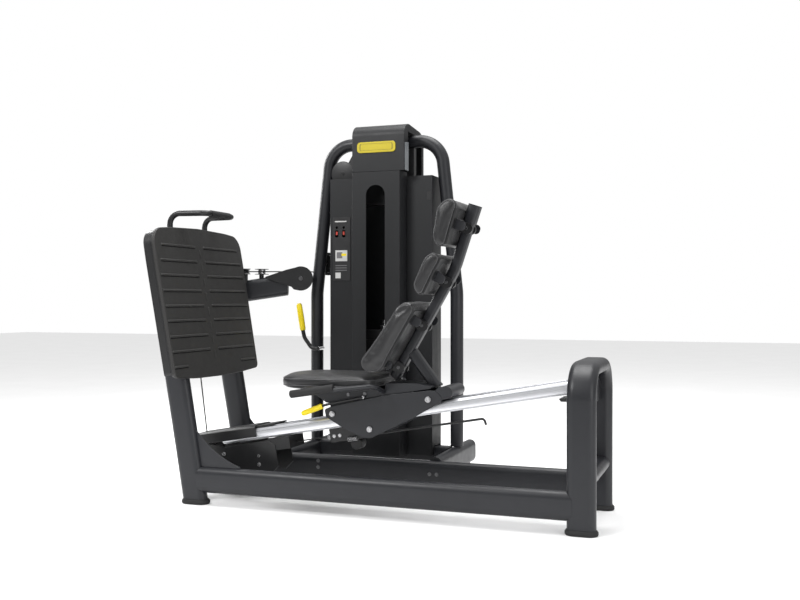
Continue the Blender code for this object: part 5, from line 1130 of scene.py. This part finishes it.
weld("arm_tube", ["arm_tube", "arm_foot", "turn_guard_post_0", "turn_guard_post_1", "turn_guard_1_low", "turn_guard_1_hub", "turn_guard_1_top", "turn_guard_2_low", "turn_guard_2_hub", "turn_guard_2_top"])
weld("footplate_frame", ["footplate_backing", "handle_mount_0", "handle_mount_2", "rise_pulley_axle"])
weld("foot_handle", ["footplate_handle", "handle_grip"])
weld("tower_lever", ["lever_stem", "lever_grip"])
weld("trolley", ["trolley_block", "cable_anchor", "trolley_drum", "stop_rod"])
weld("carriage_frame", ["side_plate_near", "carriage_tube", "side_plate_far"])
for t in ("front", "rear", "lower"):
    weld("wheels_" + t, ["wheels_" + t, "wheel_%s_0" % t, "wheel_%s_1" % t])
for t in ("near", "far"):
    weld("seat_handle_" + t, ["seat_handle_" + t, "handle_grip_" + t])
weld("release_lever", ["release_lever", "release_grip", "release_pivot"])
weld("backrest_post", ["backrest_post", "backrest_strut", "post_sleeve"] + ["pad_bracket_%d%d" % (n, k) for n in range(4) for k in range(2)])


# ---------------------------------------------------------- finish pieces
def freeze(ob):
    """Apply the modifiers, so that no cutter is left."""
    dg = bpy.context.evaluated_depsgraph_get()
    ev = ob.evaluated_get(dg)
    me = bpy.data.meshes.new_from_object(ev)
    old = ob.data
    ob.modifiers.clear()
    ob.data = me
    bpy.data.meshes.remove(old)
    me.materials.clear()


bpy.context.view_layer.update()
# painted shade: the badge takes the darker copy of the yellow, since it faces the key light
KIND_OF["badge"] = "badge_yellow"
MADE["badge"].data.materials.clear()
MADE["badge"].data.materials.append(M["badge_yellow"])
CUTTERS = [o for o in bpy.data.objects if o.type == "MESH" and o.hide_render and o.name not in frame["nodes"]]
for name, ob in MADE.items():
    if ob.modifiers:
        freeze(ob)
        ob.data.materials.append(M[KIND_OF[name]])
for c in CUTTERS:
    bpy.data.objects.remove(c, do_unlink=True)

BEVEL = {"front_upright_near": 0, "front_upright_far": 0, "rear_arch": 0, "tower_hoop": 0, "footplate_mat": 0.0030, "footplate_backing": 0.0015,
         "centre_shroud": 0.0009, "side_shroud_left": 0.0009, "side_shroud_right": 0.0009, "rear_shroud": 0.0008, "tower_cap": 0.0050, "badge": 0.0009,
         "placard": 0.0004, "rail": 0.0006, "rail_front_cover": 0.0022, "cover_tongue": 0.0015, "side_plate_near": 0.0010, "side_plate_far": 0.0010,
         "seat_support": 0.0010, "trolley_block": 0.0020, "cable_main": 0, "cable_trolley": 0, "cable_drop": 0, "arm_tube": 0.0015}


def finish_mesh(name, ob, w=None):
    w = BEVEL.get(name, 0.0006) if w is None else w
    if w:
        b = ob.modifiers.new("edge", "BEVEL")
        b.width = w
        b.segments = 2
        b.limit_method = "ANGLE"
        b.angle_limit = radians(38)
        b.use_clamp_overlap = True
    ob.data.shade_smooth()
    ob.data.set_sharp_from_angle(angle=radians(32 if not w else 50))


NODE_OF["cap_strip"] = "tower_cap"
SKIP = {"head_pad", "middle_pad", "lumbar_pad", "seat_cushion"}
for name, ob in MADE.items():
    if name not in SKIP:
        finish_mesh(name, ob)


EXTRA = []                 # (object, node, kind) of the details below


def extra(name, bm, kind, node, w=0.0004):
    ob = make(name, bm, kind)
    NODE_OF[name] = node
    finish_mesh(name, ob, w)
    EXTRA.append(ob)
    return ob


# ------------------------------------------------------- footplate ribs
def bar_bm(pts, w, h, axes, o, n=0.0, bm=None):
    """A low rounded rib along a straight line in the plate's face."""
    u, v, nn = axes
    bm = bm or bmesh.new()
    (x0, y0), (x1, y1) = pts
    d = Vector((x1 - x0, y1 - y0)).normalized()
    s = Vector((-d.y, d.x))
    prof = [(-w / 2, 0.0), (-w / 2 * 0.8, h * 0.62), (-w / 2 * 0.4, h * 0.93), (0, h), (w / 2 * 0.4, h * 0.93), (w / 2 * 0.8, h * 0.62), (w / 2, 0.0)]
    rings = []
    L = hypot(x1 - x0, y1 - y0)
    for f, k in ((0.0, 0.05), (0.0015, 0.55), (0.004, 0.9), (0.007, 1.0), (L - 0.007, 1.0), (L - 0.004, 0.9), (L - 0.0015, 0.55), (L, 0.05)):
        ring = []
        for a, b in prof:
            x, y = x0 + d.x * f + s.x * a * (0.5 + 0.5 * k), y0 + d.y * f + s.y * a * (0.5 + 0.5 * k)
            ring.append(o + u * x + v * y + nn * (n + b * k - 0.0006))
        rings.append(ring)
    return loft(rings, bm=bm)


bm = bmesh.new()
ROWS = [0.957, 0.900, 0.845, 0.788, 0.731, 0.676, 0.619, 0.564]
for i, z in enumerate(ROWS):
    h = (z - 0.470) / cos(LEAN)
    yl0 = [-0.082, -0.099][i] if i < 2 else -0.1115
    yr1 = [0.473, 0.488][i] if i < 2 else 0.492
    bar_bm([(yl0 - FP_Y, h), (0.150 - FP_Y, h)], 0.0095, 0.0042, AX_F, FP_O, bm=bm)
    bar_bm([(0.207 - FP_Y, h), (yr1 - FP_Y, h)], 0.0095, 0.0042, AX_F, FP_O, bm=bm)
h = (0.509 - 0.470) / cos(LEAN)
bar_bm([(-0.112 - FP_Y, h), (-0.020 - FP_Y, h)], 0.0095, 0.0042, AX_F, FP_O, bm=bm)
bar_bm([(0.370 - FP_Y, h), (0.486 - FP_Y, h)], 0.0095, 0.0042, AX_F, FP_O, bm=bm)
# short dashes down the middle
z = 0.946
while z > 0.535:
    h0, h1 = (z - 0.470) / cos(LEAN), (z - 0.034 - 0.470) / cos(LEAN)
    bar_bm([(0.179 - FP_Y, h1), (0.179 - FP_Y, h0)], 0.0060, 0.0030, AX_F, FP_O, bm=bm)
    z -= 0.0555
extra("footplate_ribs", bm, "mat_rubber", "footplate_mat", 0)
# painted shadow: dark strips under the ribs, where the ribs' shade falls
bm = bmesh.new()
for i, z in enumerate(ROWS + [0.509]):
    h = (z - 0.470) / cos(LEAN) - 0.0062
    yl0 = ([-0.082, -0.099] + [-0.1115] * 7)[i]
    yr1 = ([0.473, 0.488] + [0.492] * 7)[i]
    for ya, yb in (((yl0, 0.150), (0.207, yr1)) if i < 8 else ((-0.112, -0.020), (0.370, 0.486))):
        prism([(ya + 0.002 - FP_Y, h - 0.0013), (yb - 0.002 - FP_Y, h - 0.0013), (yb - 0.002 - FP_Y, h + 0.0013), (ya + 0.002 - FP_Y, h + 0.0013)], AX_F, -0.0004, 0.0003, origin=FP_O, bm=bm)
extra("footplate_grooves", bm, "rib_shadow", "footplate_mat", 0)
# folded rim of the backing plate, along the sides and the top
rim = bmesh.new()
o_out = foot_outline(4, 0.004)
n_o = len(o_out)
pts3 = [p for p in o_out if p[1] > 0.02]
ringo = []
base = [FP_O + AX_F[0] * x + AX_F[1] * y for x, y in o_out]
keep = [i for i in range(n_o) if o_out[i][1] > 0.012]
# the outline starts at the bottom, so the kept points are one run
run_pts = [o_out[i] for i in keep]
rings = []
for i, (x, y) in enumerate(run_pts):
    a = Vector(run_pts[max(0, i - 1)])
    b = Vector(run_pts[min(len(run_pts) - 1, i + 1)])
    t = (b - a).normalized()
    nrm = Vector((-t.y, t.x))
    ring = []
    for off, dep in ((0.0, -0.0205), (0.0022, -0.0205), (0.0022, -0.0500), (0.0, -0.0500)):
        q = Vector((x, y)) + nrm * off
        ring.append(FP_O + AX_F[0] * q.x + AX_F[1] * q.y + AX_F[2] * dep)
    rings.append(ring)
loft(rings, bm=rim)
extra("footplate_rim", rim, "black_paint", "footplate_frame", 0.0004)


# ------------------------------------------------------------ hex bolts
def hex_bolt(bm, c, axes, r=0.0085, h=0.0055, washer=0.0115):
    r, h, washer = r * 0.80, h * 0.85, washer * 0.84
    u, v, w = axes
    c = Vector(c)

    def ring(rad, d, n, a0=0.0):
        return [c + w * d + (u * cos(a0 + 2 * pi * i / n) + v * sin(a0 + 2 * pi * i / n)) * rad for i in range(n)]

    loft([ring(washer, 0.0, 32), ring(washer, 0.0012, 32), ring(washer - 0.0004, 0.0016, 32)], bm=bm)
    # socket head: a round head with a hex recess
    n = 48
    hexr = [(r * 0.52) / max(abs(cos((2 * pi * i / n) % (pi / 3) - pi / 6)), 0.5) for i in range(n)]

    def hexring(d, k=1.0):
        return [c + w * d + (u * cos(2 * pi * i / n) + v * sin(2 * pi * i / n)) * hexr[i] * k for i in range(n)]

    loft([ring(r * 0.94, 0.0014, n), ring(r, 0.0022, n), ring(r, h - 0.0008, n), ring(r * 0.92, h, n), hexring(h), hexring(h - 0.0030), hexring(h - 0.0034, 0.4)], bm=bm)


NEARF = (Vector((1, 0, 0)), Vector((0, 0, 1)), Vector((0, -1, 0)))
bm = bmesh.new()
for a in (AX1, AX2, AX3):
    hex_bolt(bm, (a.x, PL_Y0 - 0.0062, a.z), NEARF, r=0.0090, h=0.0050, washer=0.0104)
for a in (AX1, AX2, AX3):
    hex_bolt(bm, (a.x, PL_Y1 + PL_T + 0.0062, a.z), (Vector((1, 0, 0)), Vector((0, 0, 1)), Vector((0, 1, 0))), r=0.0090, h=0.0050, washer=0.0104)
extra("axle_bolt_heads", bm, "steel", "carriage_frame", 0)
bm = bmesh.new()
for x, z in ((-0.8620, 0.4050), (-0.7980, 0.4090), (-0.6150, 0.4160)):
    hex_bolt(bm, (x, PL_Y0 + PL_T - 0.0001, z + 0.004), NEARF, r=0.0065, h=0.0040, washer=0.0080)
extra("support_bolt_heads", bm, "dark_steel", "seat_support", 0)
bm = bmesh.new()
for x, z in ((-1.3820, 0.1620), (-1.2320, 0.1310)):
    hex_bolt(bm, (x, Y_MID - HOUSE_Y - 0.0040, z), NEARF, r=0.0075, h=0.0045, washer=0.0095)
extra("housing_bolts", bm, "steel", "pulley_housing", 0)
bm = bmesh.new()
for x, z in ((-1.0970, 0.0900), (-1.0970, 0.1150)):
    hex_bolt(bm, (x, Y_FAR - 0.0252, z), NEARF, r=0.0070, h=0.0045, washer=0.0090)
for x in (TOWER_X + TIE_DX - 0.0140, TOWER_X + TIE_DX + 0.0140):
    hex_bolt(bm, (x, Y_FAR - 0.0252, 0.0900), NEARF, r=0.0070, h=0.0045, washer=0.0090)
extra("tie_bolts", bm, "dark_steel", "base_tube_far", 0)
bm = bmesh.new()
for cz, d in ((1.0050, UD), (0.8150, LD), (0.6600, LD), (0.5080, LD)):
    b0 = PB1 + d * ((cz - PB1.z) / d.z)
    front = d.cross(Vector((0, 1, 0)))
    if front.x > 0:
        front = -front
    hex_bolt(bm, (b0.x, 0.1742, b0.z), NEARF, r=0.0060, h=0.0040, washer=0.0075)
    hex_bolt(bm, (b0.x, 0.2288, b0.z), (Vector((1, 0, 0)), Vector((0, 0, 1)), Vector((0, 1, 0))), r=0.0060, h=0.0040, washer=0.0075)
extra("bracket_bolts", bm, "dark_steel", "backrest_post", 0)
bm = bmesh.new()
hex_bolt(bm, ARM_B + ARM_N * 0.0306, AX_ARM, r=0.0080, h=0.0050, washer=0.0110)
extra("arm_bolt", bm, "dark_steel", "arm_pulley_guard", 0)
bm = bmesh.new()
hex_bolt(bm, (TPX, 0.6715, TPZ), NEARF, r=0.0080, h=0.0045, washer=0.0110)
extra("top_guard_bolt", bm, "black_paint", "top_pulley_hanger", 0)

# ------------------------------------- boards and tongues behind the pads
for n, (a, b) in enumerate((((-0.4370, 1.0780), (-0.4800, 0.9360)), ((-0.4920, 0.9060), (-0.5640, 0.7660)), ((-0.5860, 0.7250), (-0.7130, 0.5080)))):
    pa, pb = Vector((a[0], 0, a[1])), Vector((b[0], 0, b[1]))
    dd = (pa - pb).normalized()
    out = Vector((0, 1, 0)).cross(dd)
    if out.x < 0:
        out = -out
    L = (pa - pb).length
    bm = bmesh.new()
    prism([(0.010, -0.004), (L - 0.010, -0.004), (L - 0.010, 0.0045), (0.010, 0.0045)], (dd, out, Vector((0, 1, 0))), PAD_Y0 + 0.012, PAD_Y1 - 0.012, origin=(pb.x, 0, pb.z), bm=bm)
    extra("pad_board_%d" % n, bm, "plastic", ("head_pad", "middle_pad", "lumbar_pad")[n], 0.001)
bm = bmesh.new()
for x, z, d in ((-0.4388, 1.0124, UD), (-0.5112, 0.8306, LD), (-0.5998, 0.6795, LD), (-0.7082, 0.5261, LD)):
    out = Vector((0, 1, 0)).cross(d)
    if out.x < 0:
        out = -out
    o = round_poly([(-0.020, -0.026), (0.020, -0.026), (0.0165, 0.025), (-0.0165, 0.025)], [0.002, 0.002, 0.0155, 0.0155], 4)
    for y0 in (0.1000, 0.2990):
        prism(o, (d, out, Vector((0, 1, 0))), y0, y0 + 0.004, origin=(x, 0, z), bm=bm)
extra("pad_tongues", bm, "frame_paint", "backrest_post", 0.0008)

# --------------------------------------------------- rail's side grooves
bm = bmesh.new()
for sy in (-1, 1):
    for t0, t1 in ((0.0300, 0.0310),):
        yy = sy * (RAIL_W / 2 + 0.00005)
        prism([(min(yy, yy + sy * 0.0002), t0), (max(yy, yy + sy * 0.0002), t0), (max(yy, yy + sy * 0.0002), t1), (min(yy, yy + sy * 0.0002), t1)],
              RAIL_AX, RAIL_S0 + 0.002, RAIL_S1 - 0.001, origin=rail_pt(0, 0), bm=bm)
extra("rail_lines", bm, "strip", "rail", 0)

# ------------------------------------------- trolley: spring and clamps
bm = bmesh.new()
sp0 = rail_pt(0.2180, -0.0480, Y_MID - 0.0430)
pts = []
for i in range(0, 6 * 24 + 1):
    a = 2 * pi * i / 24
    pts.append(sp0 + RU * (0.0062 * i / 24) + Vector((0, 1, 0)) * (0.0080 * cos(a)) + RW * (0.0080 * sin(a)))
tube3d(pts, 0.0013, 8, bm=bm)
extra("trolley_spring", bm, "steel", "trolley", 0)
bm = bmesh.new()
for s0 in (0.163, 0.186):
    c = rail_pt(s0, -0.0300)
    hex_bolt(bm, (c.x, Y_MID - 0.0362, c.z), NEARF, r=0.0060, h=0.0045, washer=0.0078)
for s0, t0 in ((0.2850, -0.0330), (0.2700, -0.0180)):
    c = rail_pt(s0, t0)
    hex_bolt(bm, (c.x, Y_MID - 0.0362, c.z), NEARF, r=0.0055, h=0.0045, washer=0.0070)
extra("trolley_bolts", bm, "steel", "trolley", 0)

# ---------------------------------------------------------- badge & card
bm = bmesh.new()
b_o = round_poly([(-0.0770, -0.0145), (0.0770, -0.0145), (0.0770, 0.0145), (-0.0770, 0.0145)], 0.006, 3)
loft([[Vector((-0.9265 + x * k, CENTRE_Y - d, 1.3790 + z * k)) for x, z in b_o] for k, d in ((0.93, 0.0030), (0.93, 0.0040), (0.90, 0.0040), (0.90, 0.0030))], bm=bm)
extra("badge_line", bm, "print", "badge", 0)


def card(x0, x1, z0, z1, kind, tag, dep=0.0002):
    bm = bmesh.new()
    prism([(x0, z0), (x1, z0), (x1, z1), (x0, z1)], "Y", SHROUD_Y - 0.0024 - dep, SHROUD_Y - 0.0020, origin=(-1.1080, 0, 0.967), bm=bm)
    extra("placard_" + tag, bm, kind, "placard", 0)


card(-0.030, 0.022, 0.1130, 0.1180, "white_print", "bar")
for i, x in enumerate((-0.022, 0.010)):
    # plain figures: a round head, a body block and a small red block
    for tag, kind, o, dz, dd in (("head", "white_print", [(0.0055 * cos(2 * pi * j / 24), 0.0055 * sin(2 * pi * j / 24)) for j in range(24)], 0.090, 0.0024),
                                 ("body", "grey_print", round_rect(0.014, 0.030, 0.003, 3), 0.064, 0.0024),
                                 ("block", "red_print", round_rect(0.008, 0.014, 0.002, 3), 0.066, 0.0027)):
        bm = bmesh.new()
        prism(o, "Y", SHROUD_Y - dd, SHROUD_Y - 0.0018, origin=(-1.1080 + x, 0, 0.967 + dz), bm=bm)
        extra("placard_%s_%d" % (tag, i), bm, kind, "placard", 0)
card(-0.028, 0.026, -0.0520, -0.0060, "white_print", "panel_a")
card(-0.022, 0.004, -0.0400, -0.0140, "grey_print", "panel_b", 0.0003)
card(0.000, 0.022, -0.0300, -0.0200, "yellow", "panel_c", 0.0004)
for i in range(3):
    card(-0.028, 0.024, -0.072 - 0.010 * i, -0.069 - 0.010 * i, "grey_print", "line_%d" % i)
card(-0.028, -0.004, -0.1240, -0.1000, "white_print", "panel_d")

# -------------------------------------------- small trim on the shrouds
bm = bmesh.new()
prism(round_rect(0.020, 0.034, 0.004, 3), "Y", SHROUD_Y - 0.0014, SHROUD_Y - 0.0002, origin=(-0.7200, 0, 1.178), bm=bm)
extra("shroud_clip", bm, "black_paint", "side_shroud_right", 0.0003)


# ------------------------------------------------------------- cushions
def simulate(ob, name, voxel, pressure, cap, shrink):
    """Inflate a closed cushion with cloth, and hold each point near its start."""
    me = ob.data
    co0 = None
    r = ob.modifiers.new("re", "REMESH")
    r.mode = "VOXEL"
    r.voxel_size = voxel
    freeze(ob)
    me = ob.data
    sm = ob.modifiers.new("sm", "SMOOTH")
    sm.factor = 0.5
    sm.iterations = 6
    freeze(ob)
    me = ob.data
    start = [v.co.copy() for v in me.vertices]
    c = ob.modifiers.new("cloth", "CLOTH")
    s = c.settings
    s.quality = 5
    s.mass = 0.3
    s.use_pressure = True
    s.uniform_pressure_force = pressure
    s.tension_stiffness = 25
    s.compression_stiffness = 20
    s.shear_stiffness = 10
    s.bending_stiffness = 1.5
    s.effector_weights.gravity = 0
    c.point_cache.frame_start = 1
    c.point_cache.frame_end = 20
    sc = bpy.context.scene
    for f in range(1, 21):
        sc.frame_set(f)
    freeze(ob)
    sc.frame_set(1)
    me = ob.data
    for v, p in zip(me.vertices, start):
        d = v.co - p
        if d.length > cap:
            v.co = p + d.normalized() * cap
    sm = ob.modifiers.new("sm2", "SMOOTH")
    sm.factor = 0.5
    sm.iterations = 3
    freeze(ob)
    ss = ob.modifiers.new("sub", "SUBSURF")
    ss.levels = 1
    ss.render_levels = 1
    freeze(ob)
    ob.data.materials.append(M["leatherette"])
    ob.data.shade_smooth()


def profile_pad(name, outline, r, y0, y1, crown, waist):
    """Closed crowned form: the side profile carried across, fuller in the
    middle, with softly rounded ends."""
    n = len(outline)
    cx, cz = sum(p[0] for p in outline) / n, sum(p[1] for p in outline) / n
    o = round_poly(outline, r, 4)
    rings = []
    N = 26
    for i in range(N + 1):
        u = -1 + 2 * i / N
        y = (y0 + y1) / 2 + u * (y1 - y0) / 2
        e = max(0.0, (abs(u) - 0.90) / 0.10)
        endk = (1 - e * e) ** 0.5 if e < 1 else 0.0
        g_in = 0.0075 * (1 - endk)
        ring = []
        for x, z in o:
            d = Vector((x - cx, z - cz))
            f = 1 - g_in / max(0.012, d.length) + crown * (1 - u * u)
            f *= 0.985
            ring.append(Vector((cx + d.x * f, y, cz + d.y * f)))
        rings.append(ring)
    return loft(rings)


def cord_loop(pts, r, name, node, kind="piping"):
    """Closed round bead through a loop of points."""
    n = len(pts)
    bm = bmesh.new()
    m = 10
    vs = []
    P = [Vector(p) for p in pts]
    t0 = (P[1] - P[-1]).normalized()
    a = Vector((0, 0, 1)) if abs(t0.z) < 0.9 else Vector((1, 0, 0))
    u = (a - t0 * a.dot(t0)).normalized()
    for i in range(n):
        t = (P[(i + 1) % n] - P[i - 1]).normalized()
        u = (u - t * u.dot(t)).normalized()
        v = t.cross(u)
        vs.append([bm.verts.new(P[i] + (u * cos(2 * pi * j / m) + v * sin(2 * pi * j / m)) * r) for j in range(m)])
    # join the last ring to the first with the smallest twist
    best, off = 1e9, 0
    for k in range(m):
        dd = (vs[0][k].co - vs[-1][0].co).length
        if dd < best:
            best, off = dd, k
    for i in range(n - 1):
        for j in range(m):
            bm.faces.new((vs[i][j], vs[i][(j + 1) % m], vs[i + 1][(j + 1) % m], vs[i + 1][j]))
    for j in range(m):
        bm.faces.new((vs[-1][j], vs[-1][(j + 1) % m], vs[0][(j + 1 + off) % m], vs[0][(j + off) % m]))
    return extra(name, bm, kind, node, 0)


def surface_at(ob, p, d, far=0.06):
    """Point where a ray from p + d*far back towards p meets the cushion."""
    o = p + d * far
    ok, loc, nrm, _ = ob.ray_cast(o, -d, distance=far * 1.6)
    return (loc, nrm) if ok else (p, d)


PADS = {"head_pad": (HEAD, 0.010), "middle_pad": (MID, 0.010), "lumbar_pad": (LUMBAR, 0.010)}
for name, (outline, r) in PADS.items():
    old = MADE[name]
    bm = profile_pad(name, outline, r, PAD_Y0 + 0.003, PAD_Y1 - 0.003, 0.030, 0.0)
    bmesh.ops.recalc_face_normals(bm, faces=bm.faces[:])
    me = bpy.data.meshes.new(name + "_soft")
    bm.to_mesh(me)
    bm.free()
    old.data = me
    simulate(old, name, 0.0050, 4.0, 0.0045, 0.985)
    bpy.context.view_layer.update()
    # double piping round both faces' edges: one bead at each end of the cushion's side band
    n = len(outline)
    cx, cz = sum(p[0] for p in outline) / n, sum(p[1] for p in outline) / n
    o = round_poly(outline, r, 5)
    for tag, yy, dirn in (("near", PAD_Y0 + 0.0100, -1), ("far", PAD_Y1 - 0.0100, 1)):
        for k, dy in enumerate((0.0, 0.0080)):
            pts = []
            y = yy - dirn * dy
            # even steps round the outline
            L = [0.0]
            for i in range(len(o)):
                a, b = Vector(o[i]), Vector(o[(i + 1) % len(o)])
                L.append(L[-1] + (b - a).length)
            T = 90
            i = 0
            for q in range(T):
                s0 = L[-1] * q / T
                while L[i + 1] < s0:
                    i += 1
                a, b = Vector(o[i]), Vector(o[(i + 1) % len(o)])
                f = (s0 - L[i]) / max(1e-9, L[i + 1] - L[i])
                x, z = a.x + (b.x - a.x) * f, a.y + (b.y - a.y) * f
                d = Vector((x - cx, 0, z - cz)).normalized()
                loc, nrm = surface_at(old, Vector((cx, y, cz)), d, far=0.16)
                pts.append(loc + nrm * 0.0006)
            # relax the loop a little
            for _ in range(3):
                pts = [(pts[i - 1] + pts[i] * 2 + pts[(i + 1) % T]) / 4 for i in range(T)]
            cord_loop(pts, 0.0019, "%s_piping_%s_%d" % (name, tag, k), name)

old = MADE["seat_cushion"]
rings = []
for g0, z in ((0.030, SEAT_Z0 + 0.0005), (0.012, SEAT_Z0 + 0.0008), (0.004, SEAT_Z0 + 0.007), (0.002, SEAT_Z0 + 0.016), (0.002, SEAT_Z1 - 0.012), (0.005, SEAT_Z1 - 0.004),
              (0.016, SEAT_Z1), (0.040, SEAT_Z1 + 0.0030), (0.080, SEAT_Z1 + 0.0045)):
    rings.append([Vector((x, y, z)) for x, y in seat_outline(8, g0)])
bm = loft(rings)
bmesh.ops.recalc_face_normals(bm, faces=bm.faces[:])
me = bpy.data.meshes.new("seat_soft")
bm.to_mesh(me)
bm.free()
old.data = me
simulate(old, "seat_cushion", 0.0055, 4.0, 0.0050, 0.99)
bpy.context.view_layer.update()
for k, zz in enumerate((SEAT_Z1 - 0.0085, SEAT_Z0 + 0.0100)):
    o = seat_outline(10, 0.0)
    cx, cy = -0.93, Y_MID
    L = [0.0]
    for i in range(len(o)):
        a, b = Vector(o[i]), Vector(o[(i + 1) % len(o)])
        L.append(L[-1] + (b - a).length)
    T = 160
    pts = []
    i = 0
    for q in range(T):
        s0 = L[-1] * q / T
        while L[i + 1] < s0:
            i += 1
        a, b = Vector(o[i]), Vector(o[(i + 1) % len(o)])
        f = (s0 - L[i]) / max(1e-9, L[i + 1] - L[i])
        x, y = a.x + (b.x - a.x) * f, a.y + (b.y - a.y) * f
        d = Vector((x - cx, y - cy, 0)).normalized()
        loc, nrm = surface_at(old, Vector((cx, cy, zz)), d, far=0.30)
        pts.append(loc + nrm * 0.0006)
    for _ in range(3):
        pts = [(pts[i - 1] + pts[i] * 2 + pts[(i + 1) % T]) / 4 for i in range(T)]
    cord_loop(pts, 0.0021, "seat_piping_%d" % k, "seat_cushion")

# --------------------------------------------------------- place and ride
for name, ob in MADE.items():
    ob.location.x += SHIFT_X
    ob.location.y += SHIFT_Y
bpy.context.view_layer.update()
for name, ob in MADE.items():
    node = NODE_OF.get(name, name)
    body = BODY_OF.get(node)
    if body is None:
        raise RuntimeError("no node for piece " + name)
    if name == "cable_trolley":
        a = rail_pt(-0.145, CABLE_T)
        b = rail_pt(TR_S0 - 0.030, CABLE_T)
        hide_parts(node)
        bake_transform(ob)
    elif name == "cable_drop":
        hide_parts(node)
        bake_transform(ob)
    else:
        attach(ob, body)
        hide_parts(node)

# ------------------------------------------------- floor, light, camera
scene = bpy.context.scene
me = bpy.data.meshes.new("floor")
bm = bmesh.new()
bmesh.ops.create_grid(bm, x_segments=1, y_segments=1, size=14)
bm.to_mesh(me)
bm.free()
floor = bpy.data.objects.new("floor", me)
floor.location = (0, 0, -0.0002)
scene.collection.objects.link(floor)
fm, nt, p = new_mat("floor_look")
vec = coords(nt, (1, 1, 1))
nt.links.new(ramp(nt, noise_tex(nt, vec, 3, 3, 0.5), [(0.3, (0.93, 0.93, 0.93, 1)), (0.7, (0.955, 0.955, 0.955, 1))]), p.inputs["Base Color"])
p.inputs["Roughness"].default_value = 0.85
p.inputs["Specular IOR Level"].default_value = 0.2
me.materials.append(fm)

w = bpy.data.worlds.new("studio")
scene.world = w
w.use_nodes = True
wt = w.node_tree
wtc = nd(wt, "ShaderNodeTexCoord")
wsep = nd(wt, "ShaderNodeSeparateXYZ")
wt.links.new(wtc.outputs["Generated"], wsep.inputs[0])
wr = ramp(wt, wsep.outputs["Z"], [(0.46, grey(0.42)), (0.56, grey(0.34)), (0.74, grey(0.80)), (1.0, grey(1.0))])
wmap = nd(wt, "ShaderNodeMath", operation="MULTIPLY_ADD")
wt.links.new(wsep.outputs["Z"], wmap.inputs[0])
wmap.inputs[1].default_value = 0.5
wmap.inputs[2].default_value = 0.5
wt.links.new(wmap.outputs[0], wr.node.inputs["Fac"])
wlp = nd(wt, "ShaderNodeLightPath")
wmix = nd(wt, "ShaderNodeMix", data_type="RGBA")
wt.links.new(wlp.outputs["Is Camera Ray"], wmix.inputs[0])
wt.links.new(wr, wmix.inputs[6])
wmix.inputs[7].default_value = grey(1.0)
wt.links.new(wmix.outputs[2], wt.nodes["Background"].inputs["Color"])
wt.nodes["Background"].inputs["Strength"].default_value = 1.0


def area(name, loc, target, size, power, size_y=None):
    d = bpy.data.lights.new(name, "AREA")
    d.energy = power
    d.shape = "RECTANGLE"
    d.size = size
    d.size_y = size_y or size
    o = bpy.data.objects.new(name, d)
    o.location = loc
    o.rotation_euler = (Vector(target) - Vector(loc)).to_track_quat("-Z", "Y").to_euler()
    scene.collection.objects.link(o)
    return o


area("key", (-1.6, -2.6, 3.0), (-0.1, 0, 0.6), 0.9, 72)
area("fill", (3.2, -2.0, 1.4), (0.2, 0, 0.6), 1.0, 26, 2.0)
area("rim", (-3.0, 1.2, 2.2), (0, 0, 0.6), 0.8, 50, 2.0)
area("top", (0.2, 0.2, 4.2), (0, 0, 0.4), 2.4, 135)

cam_d = bpy.data.cameras.new("camera")
cam = bpy.data.objects.new("camera", cam_d)
cam.location = (0.48173 + SHIFT_X, -3.06363 + SHIFT_Y, 0.7568)
cam.rotation_euler = (radians(90), 0, radians(19.73))
cam_d.sensor_width = 36
cam_d.lens = 42.84
cam_d.shift_y = -0.0017
cam_d.clip_end = 60
scene.collection.objects.link(cam)
scene.camera = cam
scene.view_settings.view_transform = "Standard"
scene.view_settings.look = "None"
